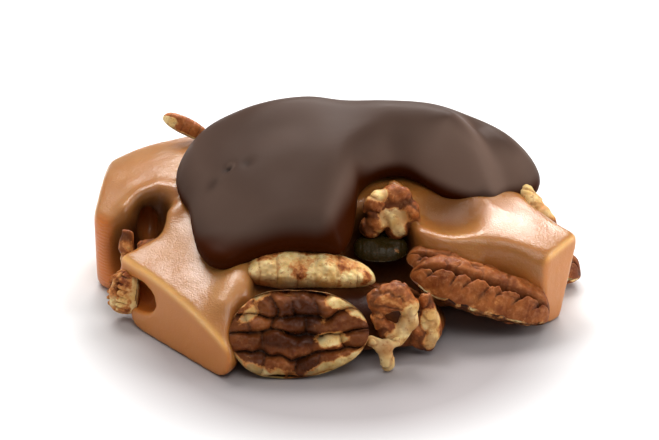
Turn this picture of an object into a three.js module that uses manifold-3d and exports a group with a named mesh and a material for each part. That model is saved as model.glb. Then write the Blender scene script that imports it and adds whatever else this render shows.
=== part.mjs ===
// Pecan turtle candy: a poured caramel slab with trimmed lobes, pecan halves and broken pecan pieces
// that stick out of it all round, and a thick pool of chocolate on top. Millimetres, +Z up, the front
// faces -Y, and the candy rests on z = 0 with the centre of its footprint at the origin.
import * as THREE from "three";
import { mergeVertices } from "three/addons/utils/BufferGeometryUtils.js";
import Module from "manifold-3d";

// Driving dimensions
const PECAN_LENGTH = 27;
const PECAN_WIDTH = 16.5;
const PECAN_HEIGHT = 7.5;
const CANDY_TOP = 36.5;
const CLEARANCE = 0.35;
const CARAMEL_CELL = 3.6;
const CHOCOLATE_CELL = 2.85;
const NUGGET_CELL = 1.6;
const CORNER_ROUNDING = 3;
const CHOCOLATE_ROUNDING = 5;

const MATERIALS = {
  chocolate: new THREE.MeshStandardMaterial({ color: 0x3b241b, roughness: 0.32, metalness: 0 }),
  caramel: new THREE.MeshStandardMaterial({ color: 0xc98a52, roughness: 0.38, metalness: 0 }),
  pecan: new THREE.MeshStandardMaterial({ color: 0x9a5a34, roughness: 0.6, metalness: 0 }),
};

const wasm = await Module();
wasm.setup();

// Distance helpers

function smoothMax(a, b, k) {
  const h = Math.max(k - Math.abs(a - b), 0) / k;
  return Math.max(a, b) + (h * h * k) / 4;
}

function smoothMin(a, b, k) {
  return -smoothMax(-a, -b, k);
}

function ellipsoid(x, y, z, centre, radii) {
  const [px, py, pz] = [x - centre[0], y - centre[1], z - centre[2]];
  const [rx, ry, rz] = radii;
  const near = Math.hypot(px / rx, py / ry, pz / rz);
  const slope = Math.hypot(px / rx ** 2, py / ry ** 2, pz / rz ** 2);
  return slope > 0 ? (near * (near - 1)) / slope : -Math.min(rx, ry, rz);
}

// Signed distance in plan from (x, y) to a closed outline, negative inside.
function outlineDistance(outline, x, y) {
  let nearest = Infinity;
  let inside = false;
  for (let i = 0, j = outline.length - 1; i < outline.length; j = i++) {
    const [ax, ay] = [outline[j].x, outline[j].y];
    const [bx, by] = [outline[i].x, outline[i].y];
    const [ex, ey] = [bx - ax, by - ay];
    const t = ((x - ax) * ex + (y - ay) * ey) / (ex * ex + ey * ey || 1);
    const s = Math.min(Math.max(t, 0), 1);
    nearest = Math.min(nearest, Math.hypot(x - ax - s * ex, y - ay - s * ey));
    if (ay > y !== by > y && x < (ex * (y - ay)) / ey + ax) inside = !inside;
  }
  return inside ? -nearest : nearest;
}

// A closed surface where the field is zero: one vertex in each cell that the surface crosses, at the
// mean of its edge crossings, and one quad round each grid edge that changes sign.
function surfaceOf(field, low, high, cell) {
  const count = low.map((v, i) => Math.ceil((high[i] - v) / cell) + 4);
  const start = low.map((v) => v - 1.5 * cell);
  const index = (i, j, k) => (k * count[1] + j) * count[0] + i;
  const values = new Float32Array(count[0] * count[1] * count[2]);
  for (let k = 0; k < count[2]; k++)
    for (let j = 0; j < count[1]; j++)
      for (let i = 0; i < count[0]; i++) {
        const [x, y, z] = [start[0] + i * cell, start[1] + j * cell, start[2] + k * cell];
        values[index(i, j, k)] = field(x, y, z);
      }
  const corners = [];
  for (let c = 0; c < 8; c++) corners.push([c & 1, (c >> 1) & 1, (c >> 2) & 1]);
  const edges = [];
  for (let a = 0; a < 8; a++) for (const bit of [1, 2, 4]) if (!(a & bit)) edges.push([a, a | bit]);
  const vertexOf = new Map();
  const positions = [];
  const cellVertex = (i, j, k) => {
    const key = index(i, j, k);
    if (vertexOf.has(key)) return vertexOf.get(key);
    const sum = [0, 0, 0];
    let crossings = 0;
    for (const [a, b] of edges) {
      const [pa, pb] = [corners[a], corners[b]];
      const va = values[index(i + pa[0], j + pa[1], k + pa[2])];
      const vb = values[index(i + pb[0], j + pb[1], k + pb[2])];
      if (va < 0 === vb < 0) continue;
      const t = va / (va - vb);
      for (let n = 0; n < 3; n++) sum[n] += pa[n] + t * (pb[n] - pa[n]);
      crossings++;
    }
    const here = [i, j, k];
    for (let n = 0; n < 3; n++) positions.push(start[n] + (here[n] + sum[n] / crossings) * cell);
    vertexOf.set(key, positions.length / 3 - 1);
    return positions.length / 3 - 1;
  };
  const triangles = [];
  const steps = [
    [1, 0, 0],
    [0, 1, 0],
    [0, 0, 1],
  ];
  for (let k = 1; k < count[2] - 1; k++)
    for (let j = 1; j < count[1] - 1; j++)
      for (let i = 1; i < count[0] - 1; i++)
        for (let n = 0; n < 3; n++) {
          const here = values[index(i, j, k)] < 0;
          const there = values[index(i + steps[n][0], j + steps[n][1], k + steps[n][2])] < 0;
          if (here === there) continue;
          const u = steps[(n + 1) % 3];
          const v = steps[(n + 2) % 3];
          const quad = [
            cellVertex(i, j, k),
            cellVertex(i - u[0], j - u[1], k - u[2]),
            cellVertex(i - u[0] - v[0], j - u[1] - v[1], k - u[2] - v[2]),
            cellVertex(i - v[0], j - v[1], k - v[2]),
          ];
          if (!here) quad.reverse();
          triangles.push(quad[0], quad[1], quad[2], quad[0], quad[2], quad[3]);
        }
  return new THREE.BufferGeometry()
    .setAttribute("position", new THREE.Float32BufferAttribute(positions, 3))
    .setIndex(triangles);
}

// Solids

function solidOf(geometry) {
  const plain = geometry.clone();
  plain.deleteAttribute("normal");
  plain.deleteAttribute("uv");
  const merged = mergeVertices(plain, 1e-4);
  return new wasm.Manifold(
    new wasm.Mesh({
      numProp: 3,
      vertProperties: merged.attributes.position.array,
      triVerts: new Uint32Array(merged.index.array),
    }),
  );
}

function geometryOf(solid) {
  const mesh = solid.getMesh();
  const positions = new Float32Array(mesh.numVert * 3);
  for (let i = 0; i < mesh.numVert; i++)
    positions.set(mesh.vertProperties.subarray(i * mesh.numProp, i * mesh.numProp + 3), i * 3);
  const geometry = new THREE.BufferGeometry()
    .setAttribute("position", new THREE.BufferAttribute(positions, 3))
    .setIndex(new THREE.BufferAttribute(mesh.triVerts, 1));
  geometry.computeVertexNormals();
  return geometry;
}

function largestPiece(solid) {
  return solid.decompose().sort((a, b) => b.volume() - a.volume())[0];
}

function boxesMeet(a, b) {
  const [p, q] = [a.boundingBox(), b.boundingBox()];
  return [0, 1, 2].every((i) => p.min[i] <= q.max[i] && q.min[i] <= p.max[i]);
}

// Caramel

// Plan outline before the knife cuts, anticlockwise from the front of the right lobe.
const CARAMEL_OUTLINE = [
  [32, -14.6], [40, -17], [46, -17], [49, -8.5], [46, -5], [43, -1], [39.5, 4.5], [36, 11],
  [33, 19], [31, 26], [27, 33], [20, 32.5], [12, 29.5], [4, 29.5], [-4, 32], [-13, 34.5],
  [-21, 33.5], [-28, 29], [-35, 25], [-43, 23], [-50, 19], [-52, 8], [-50.5, 0], [-46, -3.6],
  [-41.8, -1.8], [-39, 2.4], [-35.6, 3.2], [-33.2, 1], [-32.6, -2.6], [-34.4, -5.6], [-38, -7.6],
  [-43, -11], [-38, -25], [-28, -36], [-22, -39.5], [-18.6, -36.5], [-16.8, -30], [-17, -24],
  [-15, -17], [-11, -12], [-4, -9], [3, -5.5], [8, -3], [12.5, -4], [15, -8], [16.5, -12],
  [19, -13.6], [24, -14],
];
// Knife cuts: the way each cut face looks and its distance from the origin.
const CARAMEL_CUTS = [
  { name: "front left", facing: [-0.756, -0.655, 0.115], distance: 40.3 },
  { name: "right end", facing: [0.806, -0.592, 0], distance: 42.8 },
  { name: "left end", facing: [-0.996, 0.094, 0], distance: 48.7 },
  { name: "under the right end", facing: [0.952, 0.167, -0.257], distance: 40.5 },
  { name: "back right", facing: [0.707, 0.707, 0], distance: 42 },
];
// Each swell is a low dome: its crown's place and height, the rise per mm along x and y there, and
// how far out it has dropped by SWELL_DROP.
const CARAMEL_SWELLS = [
  { name: "left lobe", at: [-40, 8], height: 21.2, slope: [0.28, 0.24], reach: [30, 30] },
  { name: "front left lobe", at: [-28, -18], height: 14.7, slope: [0.2, 0.32], reach: [60, 36] },
  { name: "right lobe", at: [34, -4], height: 17.8, slope: [-0.12, 0.08], reach: [50, 20] },
  { name: "back right lobe", at: [26, 26], height: 16, slope: [-0.1, -0.2], reach: [30, 30] },
  { name: "back left lobe", at: [-17, 30], height: 17, slope: [0, -0.3], reach: [26, 26] },
];
const SWELL_BLEND = 3;
const SWELL_DROP = 10;
const MOUND_RISE = 0.6;
const MOUND_SHELF = 8;
const MOUND_STEP = 3;
const FOOT_ROUNDING = 5;

// Dents left by the pull of the soft caramel: middle, radii and how softly their edges run out.
const CARAMEL_DENTS = [
  { at: [22, -5.5, 23.6], radii: [8.5, 10, 6.6], blend: 2.2 },
  { at: [-26, -25, 21], radii: [6, 9, 6.6], blend: 2 },
  { at: [-42, -5, 9], radii: [4, 5, 9], blend: 2 },
  { at: [-37.8, 4, 12.6], radii: [2, 5, 4.2], blend: 1 },
  { at: [-43.4, -12.4, 4.4], radii: [3.2, 5, 5.4], blend: 0.8 },
];
// The hollow under the right lobe, where only pecans are, and the notch in the front left cut.
const LOBE_HOLLOW = { at: [25, -21, 0], radii: [15, 11, 14] };
// Low caramel between the front pecans, which holds them.
const CARAMEL_WEBS = [
  { at: [-3, -21.5, 4.5], radii: [18, 10, 7.5] },
  { at: [12, -20.5, 3.5], radii: [9.5, 8, 5.5] },
];
const WEB_BLEND = 3;
const NOTCH = { at: [-38.2, -14.9, 7], radii: [6, 4, 3.1], turn: -0.857 };

// Chocolate

// The rim, anticlockwise from the left, each point with the height at which the chocolate ends.
const CHOCOLATE_RIM = [
  [-32.6, 3.5, 20.5], [-31.4, -1.5, 19.5], [-29.4, -5, 18.2], [-28.6, -11, 16.6], [-27.4, -16.6, 15.4],
  [-24.8, -21.4, 14.6], [-20.8, -23.2, 14.8], [-16, -21.6, 16], [-10, -20.8, 17.8], [-4, -20.6, 17.6],
  [1.6, -20.6, 16.8], [3.8, -16, 17.4], [4.2, -8, 18.8], [5, -2.4, 20.6], [8, 1.6, 22.4],
  [13.6, 4, 22.8], [18.4, 2.6, 20.2], [24, 0.2, 17.8], [30, -0.4, 16.2], [37, 2.6, 16],
  [42, 9.5, 16.8], [41, 17, 18], [33, 24.5, 19], [22, 29, 18.5], [8, 29.5, 18.5],
  [-8, 29.5, 19], [-19, 27, 20], [-27.5, 19.5, 21], [-31.8, 11, 21],
];
const CHOCOLATE_CENTRE = [2, 12];
const CHOCOLATE_REACH_LEFT = 33.5;
const CHOCOLATE_REACH_RIGHT = 39.5;
const CHOCOLATE_REACH_BACK = 18;
// Reach to the front: long over the tongue, short over the arm to the right of it.
const CHOCOLATE_REACH_TONGUE = 34;
const CHOCOLATE_REACH_ARM = 11;
const CHOCOLATE_THICKNESS = 4;
const CHOCOLATE_CREST_WAVE = 1.1;
// How far the uncut chocolate reaches into the caramel, which is then cut out of it.
const CHOCOLATE_BITE = 2;
// Soft waves in the chocolate's top: the line each follows, its height and its width.
const CHOCOLATE_WAVES = [
  { from: [-15, 12], to: [-6, 17], height: 1.4, width: 6.5 },
  { from: [10, 14], to: [18, 15], height: 0.6, width: 7 },
  { from: [23, 12], to: [31, 3], height: 0.6, width: 3.4 },
  { from: [29, 15], to: [35, 7], height: -0.9, width: 3.6 },
  { from: [-22, -18], to: [-22, -14], height: 0.35, width: 5 },
  { from: [-8, -8], to: [-2, -14], height: -0.7, width: 6 },
  { from: [-18, 2], to: [-8, 4], height: -0.5, width: 4.5 },
];

const planSpline = (points) =>
  new THREE.CatmullRomCurve3(points.map(([x, y, z = 0]) => new THREE.Vector3(x, y, z)), true)
    .getPoints(points.length * 3)
    .slice(0, -1);
const caramelPlan = planSpline(CARAMEL_OUTLINE);
const chocolatePlan = planSpline(CHOCOLATE_RIM);

// Height of the rim near (x, y), weighted by nearness.
function rimHeight(x, y) {
  let [sum, weights] = [0, 0];
  for (const p of chocolatePlan) {
    const weight = 1 / ((x - p.x) ** 2 + (y - p.y) ** 2 + 4) ** 2;
    sum += weight * p.z;
    weights += weight;
  }
  return sum / weights;
}

// The caramel rises under the chocolate from the rim inwards and falls away outside it.
function caramelTop(x, y) {
  const inside = -outlineDistance(chocolatePlan, x, y);
  let top = rimHeight(x, y) + MOUND_RISE * Math.min(inside, MOUND_SHELF) - MOUND_STEP;
  for (const { at, height, slope, reach } of CARAMEL_SWELLS) {
    const [dx, dy] = [x - at[0], y - at[1]];
    const fall = SWELL_DROP * ((dx / reach[0]) ** 2 + (dy / reach[1]) ** 2);
    top = smoothMax(top, height + slope[0] * dx + slope[1] * dy - fall, SWELL_BLEND);
  }
  return top;
}

function caramelField(x, y, z) {
  const side = outlineDistance(caramelPlan, x, y);
  let field = smoothMax(z - caramelTop(x, y), side, CORNER_ROUNDING);
  for (const { at, radii, blend } of CARAMEL_DENTS)
    field = smoothMax(field, -ellipsoid(x, y, z, at, radii), blend);
  field = smoothMax(field, -ellipsoid(x, y, z, LOBE_HOLLOW.at, LOBE_HOLLOW.radii), 1);
  for (const { at, radii } of CARAMEL_WEBS)
    field = smoothMin(field, ellipsoid(x, y, z, at, radii), WEB_BLEND);
  return smoothMax(field, -z, FOOT_ROUNDING);
}

// Share of the full rise over the rim: a flat crest that runs down into the tongue in front.
function domeShare(x, y) {
  const [cx, cy] = CHOCOLATE_CENTRE;
  const across = Math.abs(x - cx) / (x < cx ? CHOCOLATE_REACH_LEFT : CHOCOLATE_REACH_RIGHT);
  const towardsArm = THREE.MathUtils.smoothstep(x, -3, 12);
  const inFront = THREE.MathUtils.lerp(CHOCOLATE_REACH_TONGUE, CHOCOLATE_REACH_ARM, towardsArm);
  const deep = Math.abs(y - cy) / (y < cy ? inFront : CHOCOLATE_REACH_BACK);
  return Math.max(0, 1 - across ** 3 - deep ** 1.8) ** 0.8;
}

function chocolateTop(x, y) {
  const rim = rimHeight(x, y) + CHOCOLATE_THICKNESS;
  let top = rim + (CANDY_TOP - CHOCOLATE_CREST_WAVE - rim) * domeShare(x, y);
  for (const { from, to, height, width } of CHOCOLATE_WAVES) {
    const [ex, ey] = [to[0] - from[0], to[1] - from[1]];
    const t = ((x - from[0]) * ex + (y - from[1]) * ey) / (ex * ex + ey * ey);
    const s = Math.min(Math.max(t, 0), 1);
    const far = Math.hypot(x - from[0] - s * ex, y - from[1] - s * ey) / width;
    top += height * Math.exp(-far * far);
  }
  return Math.min(top, CANDY_TOP);
}

function chocolateField(x, y, z) {
  const side = outlineDistance(chocolatePlan, x, y);
  const under = Math.max(caramelTop(x, y) - CHOCOLATE_BITE, rimHeight(x, y));
  const lid = smoothMax(z - chocolateTop(x, y), side, CHOCOLATE_ROUNDING);
  return smoothMax(lid, under - z, 3.4);
}

// Pecans

const PECAN_RINGS = 8;
const PECAN_SIDES = 16;
const GROOVE_PLACE = 0.36;

// Height of the rounded back of a half, u along it and w across it, both from -1 to 1.
function pecanBack(u, w, groovePlace) {
  const ends = Math.sqrt(Math.max(0, 1 - u ** 4));
  const arch = Math.max(0, 1 - w * w) ** 0.55;
  const groove = 0.22 * Math.exp(-(((Math.abs(w) - groovePlace) / 0.13) ** 2));
  return ends * (arch - groove * ends);
}

// Depth of the inner face of a half: two wings, two inner lobes and a cleft between them.
function pecanFace(u, w) {
  const ends = Math.sqrt(Math.max(0, 1 - u ** 4));
  const cleft = 0.3 * Math.exp(-((w / 0.12) ** 2));
  const channel = 0.2 * Math.exp(-(((Math.abs(w) - 0.5) / 0.12) ** 2));
  const lip = 0.16 * Math.sqrt(Math.max(0, 1 - w * w));
  return ends * (cleft + channel - lip);
}

// A half. 'lean' makes one side wider than the other, as on a half that broke along its length.
function pecanHalf({ length, width, height, groove = GROOVE_PLACE, lean = 0 }) {
  const positions = [];
  const triangles = [];
  const ringOf = (u) => {
    const outline = (1 - Math.abs(u) ** 2.4) ** 0.5 * (1 - 0.1 * u);
    for (let s = 0; s < PECAN_SIDES; s++) {
      const turn = (2 * s) / PECAN_SIDES;
      const w = turn < 1 ? -Math.cos(Math.PI * turn) : Math.cos(Math.PI * (turn - 1));
      const lift = turn < 1 ? pecanBack(u, w, groove) : pecanFace(u, w);
      const side = w < 0 ? 1 - lean : 1 + lean;
      positions.push((u * length) / 2, (w * side * outline * width) / 2, lift * height);
    }
  };
  for (let r = 0; r < PECAN_RINGS; r++) {
    const share = (r + 0.5) / PECAN_RINGS;
    ringOf(-Math.cos(Math.PI * share));
  }
  for (let r = 0; r < PECAN_RINGS - 1; r++)
    for (let s = 0; s < PECAN_SIDES; s++) {
      const [a, b] = [r * PECAN_SIDES + s, r * PECAN_SIDES + ((s + 1) % PECAN_SIDES)];
      triangles.push(a, a + PECAN_SIDES, b, b, a + PECAN_SIDES, b + PECAN_SIDES);
    }
  const last = (PECAN_RINGS - 1) * PECAN_SIDES;
  const tips = positions.length / 3;
  positions.push(-length / 2, 0, height * 0.3, length / 2, 0, height * 0.3);
  for (let s = 0; s < PECAN_SIDES; s++) {
    const next = (s + 1) % PECAN_SIDES;
    triangles.push(tips, s, next, tips + 1, last + next, last + s);
  }
  return new THREE.BufferGeometry()
    .setAttribute("position", new THREE.Float32BufferAttribute(positions, 3))
    .setIndex(triangles);
}

// Distance to a run of rounded cones through points [x, y, z, radius].
function chainDistance(x, y, z, chain) {
  let nearest = Infinity;
  for (let i = 1; i < chain.length; i++) {
    const [ax, ay, az, ar] = chain[i - 1];
    const [bx, by, bz, br] = chain[i];
    const [ex, ey, ez] = [bx - ax, by - ay, bz - az];
    const t = ((x - ax) * ex + (y - ay) * ey + (z - az) * ez) / (ex * ex + ey * ey + ez * ez);
    const s = Math.min(Math.max(t, 0), 1);
    const away = Math.hypot(x - ax - s * ex, y - ay - s * ey, z - az - s * ez);
    nearest = Math.min(nearest, away - ar - s * (br - ar));
  }
  return nearest;
}

// A broken piece: chains of lumps that run into each other.
function nugget({ chains }) {
  const field = (x, y, z) => {
    const [first, ...others] = chains.map((chain) => chainDistance(x, y, z, chain));
    return others.reduce((near, away) => smoothMin(near, away, 0.9), first);
  };
  const points = chains.flat();
  const low = [0, 1, 2].map((i) => Math.min(...points.map((l) => l[i] - l[3])) - NUGGET_CELL);
  const high = [0, 1, 2].map((i) => Math.max(...points.map((l) => l[i] + l[3])) + NUGGET_CELL);
  return surfaceOf(field, low, high, NUGGET_CELL);
}

// Halves: the centre of the flat face, the way the long axis points, and the way the rounded back
// faces. Sizes are shares of the driving pecan size.
const HALVES = {
  pecan_front_lower: { at: [-6.8, -34.4, 8.4], along: [1, 0.02, 0.04], back: [0, 0.94, -0.35], size: [0.97, 1, 0.9] },
  pecan_front_upper: {
    at: [-5.2, -19.3, 12.6], along: [1, 0, -0.05], back: [0, -0.85, 0.52], size: [0.96, 0.47, 0.75], lean: 0.4,
  },
  pecan_right_lower: {
    at: [28, -16.6, 7], along: [27.5, -1, -9.3], back: [0.32, -0.13, 0.94], size: [1.06, 0.74, 0.9], groove: 0.45,
  },
  pecan_right_upper: {
    at: [24.8, -13.8, 10], along: [27.5, -3, -9.5], back: [0.1, -0.1, 0.95], size: [0.86, 0.66, 0.6], groove: 0.45,
  },
  pecan_deep: { at: [9, -8.6, 13.6], along: [1, 0.05, -0.03], back: [0, -0.3, 1], size: [0.4, 0.46, 0.3] },
  pecan_recess_low: { at: [7, -19.5, 4.2], along: [1, 0.12, 0], back: [0, -0.55, 0.84], size: [0.9, 0.8, 0.85] },
  pecan_right_back: { at: [42, 4.6, 2], along: [0.93, -0.35, 0.04], back: [0, 0.2, 1], size: [0.62, 0.7, 0.75] },
  pecan_notch: { at: [-40.4, -11.6, 6], along: [0.15, 0.1, 1], back: [-0.8, -0.6, 0], size: [0.35, 0.42, 0.6] },
  pecan_sliver: { at: [-30.6, 20.8, 27], along: [8, -1, -4], back: [0.3, -0.5, 0.8], size: [0.4, 0.22, 0.35] },
  pecan_back_middle: { at: [4, 29.5, 6.6], along: [1, -0.1, 0.04], back: [0, 0.75, 0.66], size: [1, 0.95, 0.9] },
  pecan_back_left: { at: [-29, 27, 5.9], along: [0.8, 0.5, 0.05], back: [-0.5, 0.6, 0.7], size: [0.95, 0.9, 0.85] },
  pecan_back_right: { at: [33, 17, 6.2], along: [0.3, -1, 0.1], back: [0.8, 0.2, 0.6], size: [0.9, 0.85, 0.8] },
};

const NUGGETS = {
  pecan_crown: {
    chains: [
      [[7.4, -7, 18, 2.6], [7.8, -6.2, 22, 2.4], [12, -5.4, 24, 2.1], [14.6, -5.8, 21.4, 2.2], [15.4, -6.2, 18, 1.8]],
      [[11, -6.4, 20.4, 3.4], [12.4, -6.4, 18.2, 3]],
    ],
  },
  pecan_chip_middle: {
    chains: [
      [[8.6, -29.6, 13, 2.6], [11.6, -29.5, 13.8, 2.9], [14, -29.8, 12, 1.9], [13.8, -30, 8.6, 1.7]],
      [[13.8, -30, 8.6, 1.6], [11.8, -31, 5.6, 1.5], [9, -31.2, 6.8, 0.9]],
      [[7.6, -30.8, 10.4, 0.8], [8.6, -30.8, 8, 0.8], [10.4, -30.6, 6.8, 1]],
    ],
  },
  pecan_chip_low: {
    chains: [
      [[6.8, -32.8, 5.8, 1.1], [8.8, -33, 4.6, 1.4], [11.6, -32.6, 5.8, 1.1]],
      [[9.4, -33.2, 4.4, 1.5], [9.8, -33.6, 1.7, 1.6]],
    ],
  },
  pecan_chip_right: {
    chains: [
      [[17.4, -25.6, 11, 1.6], [17.8, -26, 8, 1.9], [18.2, -26.4, 4.6, 2], [17.6, -26.6, 2.6, 1.9]],
      [[15, -27, 4.6, 2], [17, -26.8, 3.4, 2.2]],
    ],
  },
  pecan_far_right: {
    chains: [
      [[37.8, 8, 19.4, 1.6], [39.6, 5.8, 17.4, 1.9], [41.4, 3.6, 15.8, 2], [42.8, 2, 14, 1.8], [43.6, 1, 12, 1.6]],
    ],
  },
  pecan_gap_pale: { chains: [[[-41, -7.2, 15.6, 1.4], [-41.2, -7.6, 13, 1.6], [-40.6, -7.8, 10.5, 1.7]]] },
  pecan_gap_brown: {
    chains: [
      [[-38, -5, 12, 1.7], [-35.6, -5.4, 12, 2.1]],
      [[-35.6, -5.4, 12, 2], [-35, -5.4, 9.4, 1.8]],
    ],
  },
};

function placement({ at, along, back }) {
  const x = new THREE.Vector3(...along).normalize();
  const z = new THREE.Vector3(...back);
  z.addScaledVector(x, -z.dot(x)).normalize();
  const y = new THREE.Vector3().crossVectors(z, x);
  return new THREE.Matrix4().makeBasis(x, y, z).setPosition(...at);
}

// The same geometry with every vertex moved out along its normal by the clearance.
function grown(geometry) {
  const outer = geometry.clone();
  outer.computeVertexNormals();
  const { position, normal } = outer.attributes;
  for (let i = 0; i < position.count; i++) {
    const p = new THREE.Vector3().fromBufferAttribute(position, i);
    p.addScaledVector(new THREE.Vector3().fromBufferAttribute(normal, i), CLEARANCE);
    position.setXYZ(i, ...p);
  }
  return outer;
}

// Everything on the outer side of a straight cut.
function cutAway({ facing, distance }) {
  const slab = new THREE.BoxGeometry(160, 160, 60).translate(0, 0, distance + 30);
  const turn = new THREE.Quaternion();
  turn.setFromUnitVectors(new THREE.Vector3(0, 0, 1), new THREE.Vector3(...facing).normalize());
  return solidOf(slab.applyQuaternion(turn));
}

function notchSolid({ at, radii, turn }) {
  const ball = new THREE.IcosahedronGeometry(1, 2).scale(...radii);
  return solidOf(ball.rotateZ(turn).translate(...at));
}

const pieces = [];

function addPiece(name, material, geometry, matrix = new THREE.Matrix4(), removed = []) {
  let solid = solidOf(geometry.clone().applyMatrix4(matrix));
  for (const part of removed) solid = solid.subtract(part);
  const cutter = solidOf(grown(geometry).applyMatrix4(matrix));
  pieces.push({ name, material, matrix, solid, cutter });
}

for (const [name, half] of Object.entries(HALVES)) {
  const [length, width, height] = half.size;
  const geometry = pecanHalf({
    length: length * PECAN_LENGTH,
    width: width * PECAN_WIDTH,
    height: height * PECAN_HEIGHT,
    groove: half.groove,
    lean: half.lean,
  });
  addPiece(name, "pecan", geometry, placement(half));
}
for (const [name, piece] of Object.entries(NUGGETS)) addPiece(name, "pecan", nugget(piece));

const BOUNDS_LOW = [-54, -43, 0];
const BOUNDS_HIGH = [54, 43, CANDY_TOP + 4];
const slab = surfaceOf(caramelField, BOUNDS_LOW, BOUNDS_HIGH, CARAMEL_CELL);
addPiece("caramel", "caramel", slab, new THREE.Matrix4(), [...CARAMEL_CUTS.map(cutAway), notchSolid(NOTCH)]);
addPiece("chocolate", "chocolate", surfaceOf(chocolateField, BOUNDS_LOW, BOUNDS_HIGH, CHOCOLATE_CELL));

// Earlier pieces keep their shape, and each later one is cut clear of them.
const candy = new THREE.Group();
const placed = [];
for (const { name, material, matrix, solid, cutter } of pieces) {
  let rest = solid;
  for (const other of placed) if (boxesMeet(rest, other)) rest = rest.subtract(other);
  placed.push(cutter);
  const geometry = geometryOf(largestPiece(rest)).applyMatrix4(matrix.clone().invert());
  const mesh = new THREE.Mesh(geometry, MATERIALS[material]);
  mesh.name = name;
  mesh.applyMatrix4(matrix);
  candy.add(mesh);
}

// The footprint's middle goes to the origin.
const bounds = new THREE.Box3().setFromObject(candy, true);
const middle = bounds.getCenter(new THREE.Vector3()).setZ(bounds.min.z);
for (const mesh of candy.children) mesh.position.sub(middle);

export default candy;
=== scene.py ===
"""Looks for the pecan turtle candy: soft caramel with knife-cut lobes, pecans set in it, and a pool of
chocolate on top. Shapes are worked out in millimetres in the same places as the solids, and turned
into metres when the meshes are made."""

import math

import bpy
import numpy as np
from mathutils import Matrix, Vector


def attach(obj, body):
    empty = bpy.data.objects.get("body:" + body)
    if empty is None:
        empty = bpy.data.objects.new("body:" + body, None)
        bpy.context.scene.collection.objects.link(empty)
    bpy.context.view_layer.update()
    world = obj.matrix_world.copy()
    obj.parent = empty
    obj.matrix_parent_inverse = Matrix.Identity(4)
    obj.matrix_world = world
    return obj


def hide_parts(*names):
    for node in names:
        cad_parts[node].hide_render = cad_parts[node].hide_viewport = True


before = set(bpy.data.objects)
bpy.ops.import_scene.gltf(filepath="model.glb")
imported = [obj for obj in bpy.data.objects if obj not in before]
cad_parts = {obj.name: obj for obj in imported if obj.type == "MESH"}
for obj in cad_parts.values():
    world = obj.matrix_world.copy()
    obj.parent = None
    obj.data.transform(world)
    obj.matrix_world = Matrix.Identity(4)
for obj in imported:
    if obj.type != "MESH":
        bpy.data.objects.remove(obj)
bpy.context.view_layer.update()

MM = 0.001
# The candy's footprint was centred after its shapes were placed: this is what was taken off.
FOOTPRINT_MIDDLE = (0.502, -0.405, 0.0)

# Camera, in millimetres and degrees, and how far it sees, in metres
CAMERA_TARGET = (-1.1, 0.0, 15.9)
CAMERA_ELEVATION = 25
CAMERA_DISTANCE = 439
CAMERA_LENS = 120
CAMERA_SIGHT = 50

# Driving dimensions, as on the solids
PECAN_LENGTH = 27
PECAN_WIDTH = 16.5
PECAN_HEIGHT = 7.5
CANDY_TOP = 36.5
CORNER_ROUNDING = 3.0
CHOCOLATE_ROUNDING = 5

# Mesh fineness
BODY_CELL = 0.5
NUGGET_CELL = 0.3
PECAN_RINGS = 150
PECAN_SIDES = 176


def make_camera():
    camera = bpy.data.objects.new("camera", bpy.data.cameras.new("camera"))
    bpy.context.scene.collection.objects.link(camera)
    bpy.context.scene.camera = camera
    camera.data.lens = CAMERA_LENS
    camera.data.clip_end = CAMERA_SIGHT
    tilt = math.radians(CAMERA_ELEVATION)
    back = Vector((0, -math.cos(tilt), math.sin(tilt)))
    target = Vector(CAMERA_TARGET) - Vector(FOOTPRINT_MIDDLE)
    camera.location = (target + back * CAMERA_DISTANCE) * MM
    camera.rotation_euler = back.to_track_quat("Z", "Y").to_euler()


# Distance and noise helpers

NOISE_LATTICE = 32
NOISE_LAYERS = 3
SPLINE_STEPS = 6


def smooth_max(a, b, k):
    h = np.maximum(k - np.abs(a - b), 0) / k
    return np.maximum(a, b) + h * h * k / 4


def smooth_min(a, b, k):
    return -smooth_max(-a, -b, k)


def step(low, high, value):
    t = np.clip((value - low) / (high - low), 0, 1)
    return t * t * (3 - 2 * t)


def bump(value, middle, width):
    return np.exp(-(((value - middle) / width) ** 2))


def spot(x, y, z, middle, reach):
    """1 around the middle, falling to near 0 past the reach."""
    mx, my, mz = middle
    squares = ((x - mx) ** 2 + (y - my) ** 2 + (z - mz) ** 2) / reach**2
    return np.exp(-(squares**2))


def ellipsoid(x, y, z, centre, radii):
    px, py, pz = x - centre[0], y - centre[1], z - centre[2]
    rx, ry, rz = radii
    near = np.sqrt((px / rx) ** 2 + (py / ry) ** 2 + (pz / rz) ** 2)
    slope = np.sqrt((px / rx**2) ** 2 + (py / ry**2) ** 2 + (pz / rz**2) ** 2)
    return near * (near - 1) / np.maximum(slope, 1e-6)


def lattice_noise(x, y, z, scale, seed):
    """Smooth noise from -1 to 1, one lattice point every scale millimetres."""
    size = NOISE_LATTICE
    lattice = np.random.default_rng(seed).uniform(-1, 1, (size, size, size)).astype(np.float32)
    # The shift keeps every place positive
    grids = [np.asarray(v, np.float32) / scale + 1000 for v in (x, y, z)]
    cells = [np.floor(g).astype(int) for g in grids]
    parts = [g - c for g, c in zip(grids, cells)]
    parts = [p * p * (3 - 2 * p) for p in parts]
    total = 0
    for corner in range(8):
        bits = [(corner >> n) & 1 for n in range(3)]
        weight = 1
        for part, bit in zip(parts, bits):
            weight = weight * (part if bit else 1 - part)
        where = [(c + bit) % size for c, bit in zip(cells, bits)]
        total = total + weight * lattice[where[0], where[1], where[2]]
    return total


def flat_noise(x, y, scale, seed, level=0):
    """Noise over a plan, on one level of the lattice."""
    return lattice_noise(x, y, 0 * x + level, scale, seed)


def layered_noise(x, y, z, scale, seed):
    total = 0
    for n in range(NOISE_LAYERS):
        total = total + lattice_noise(x, y, z, scale / 2**n, seed + n) / 2**n
    return total


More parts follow.
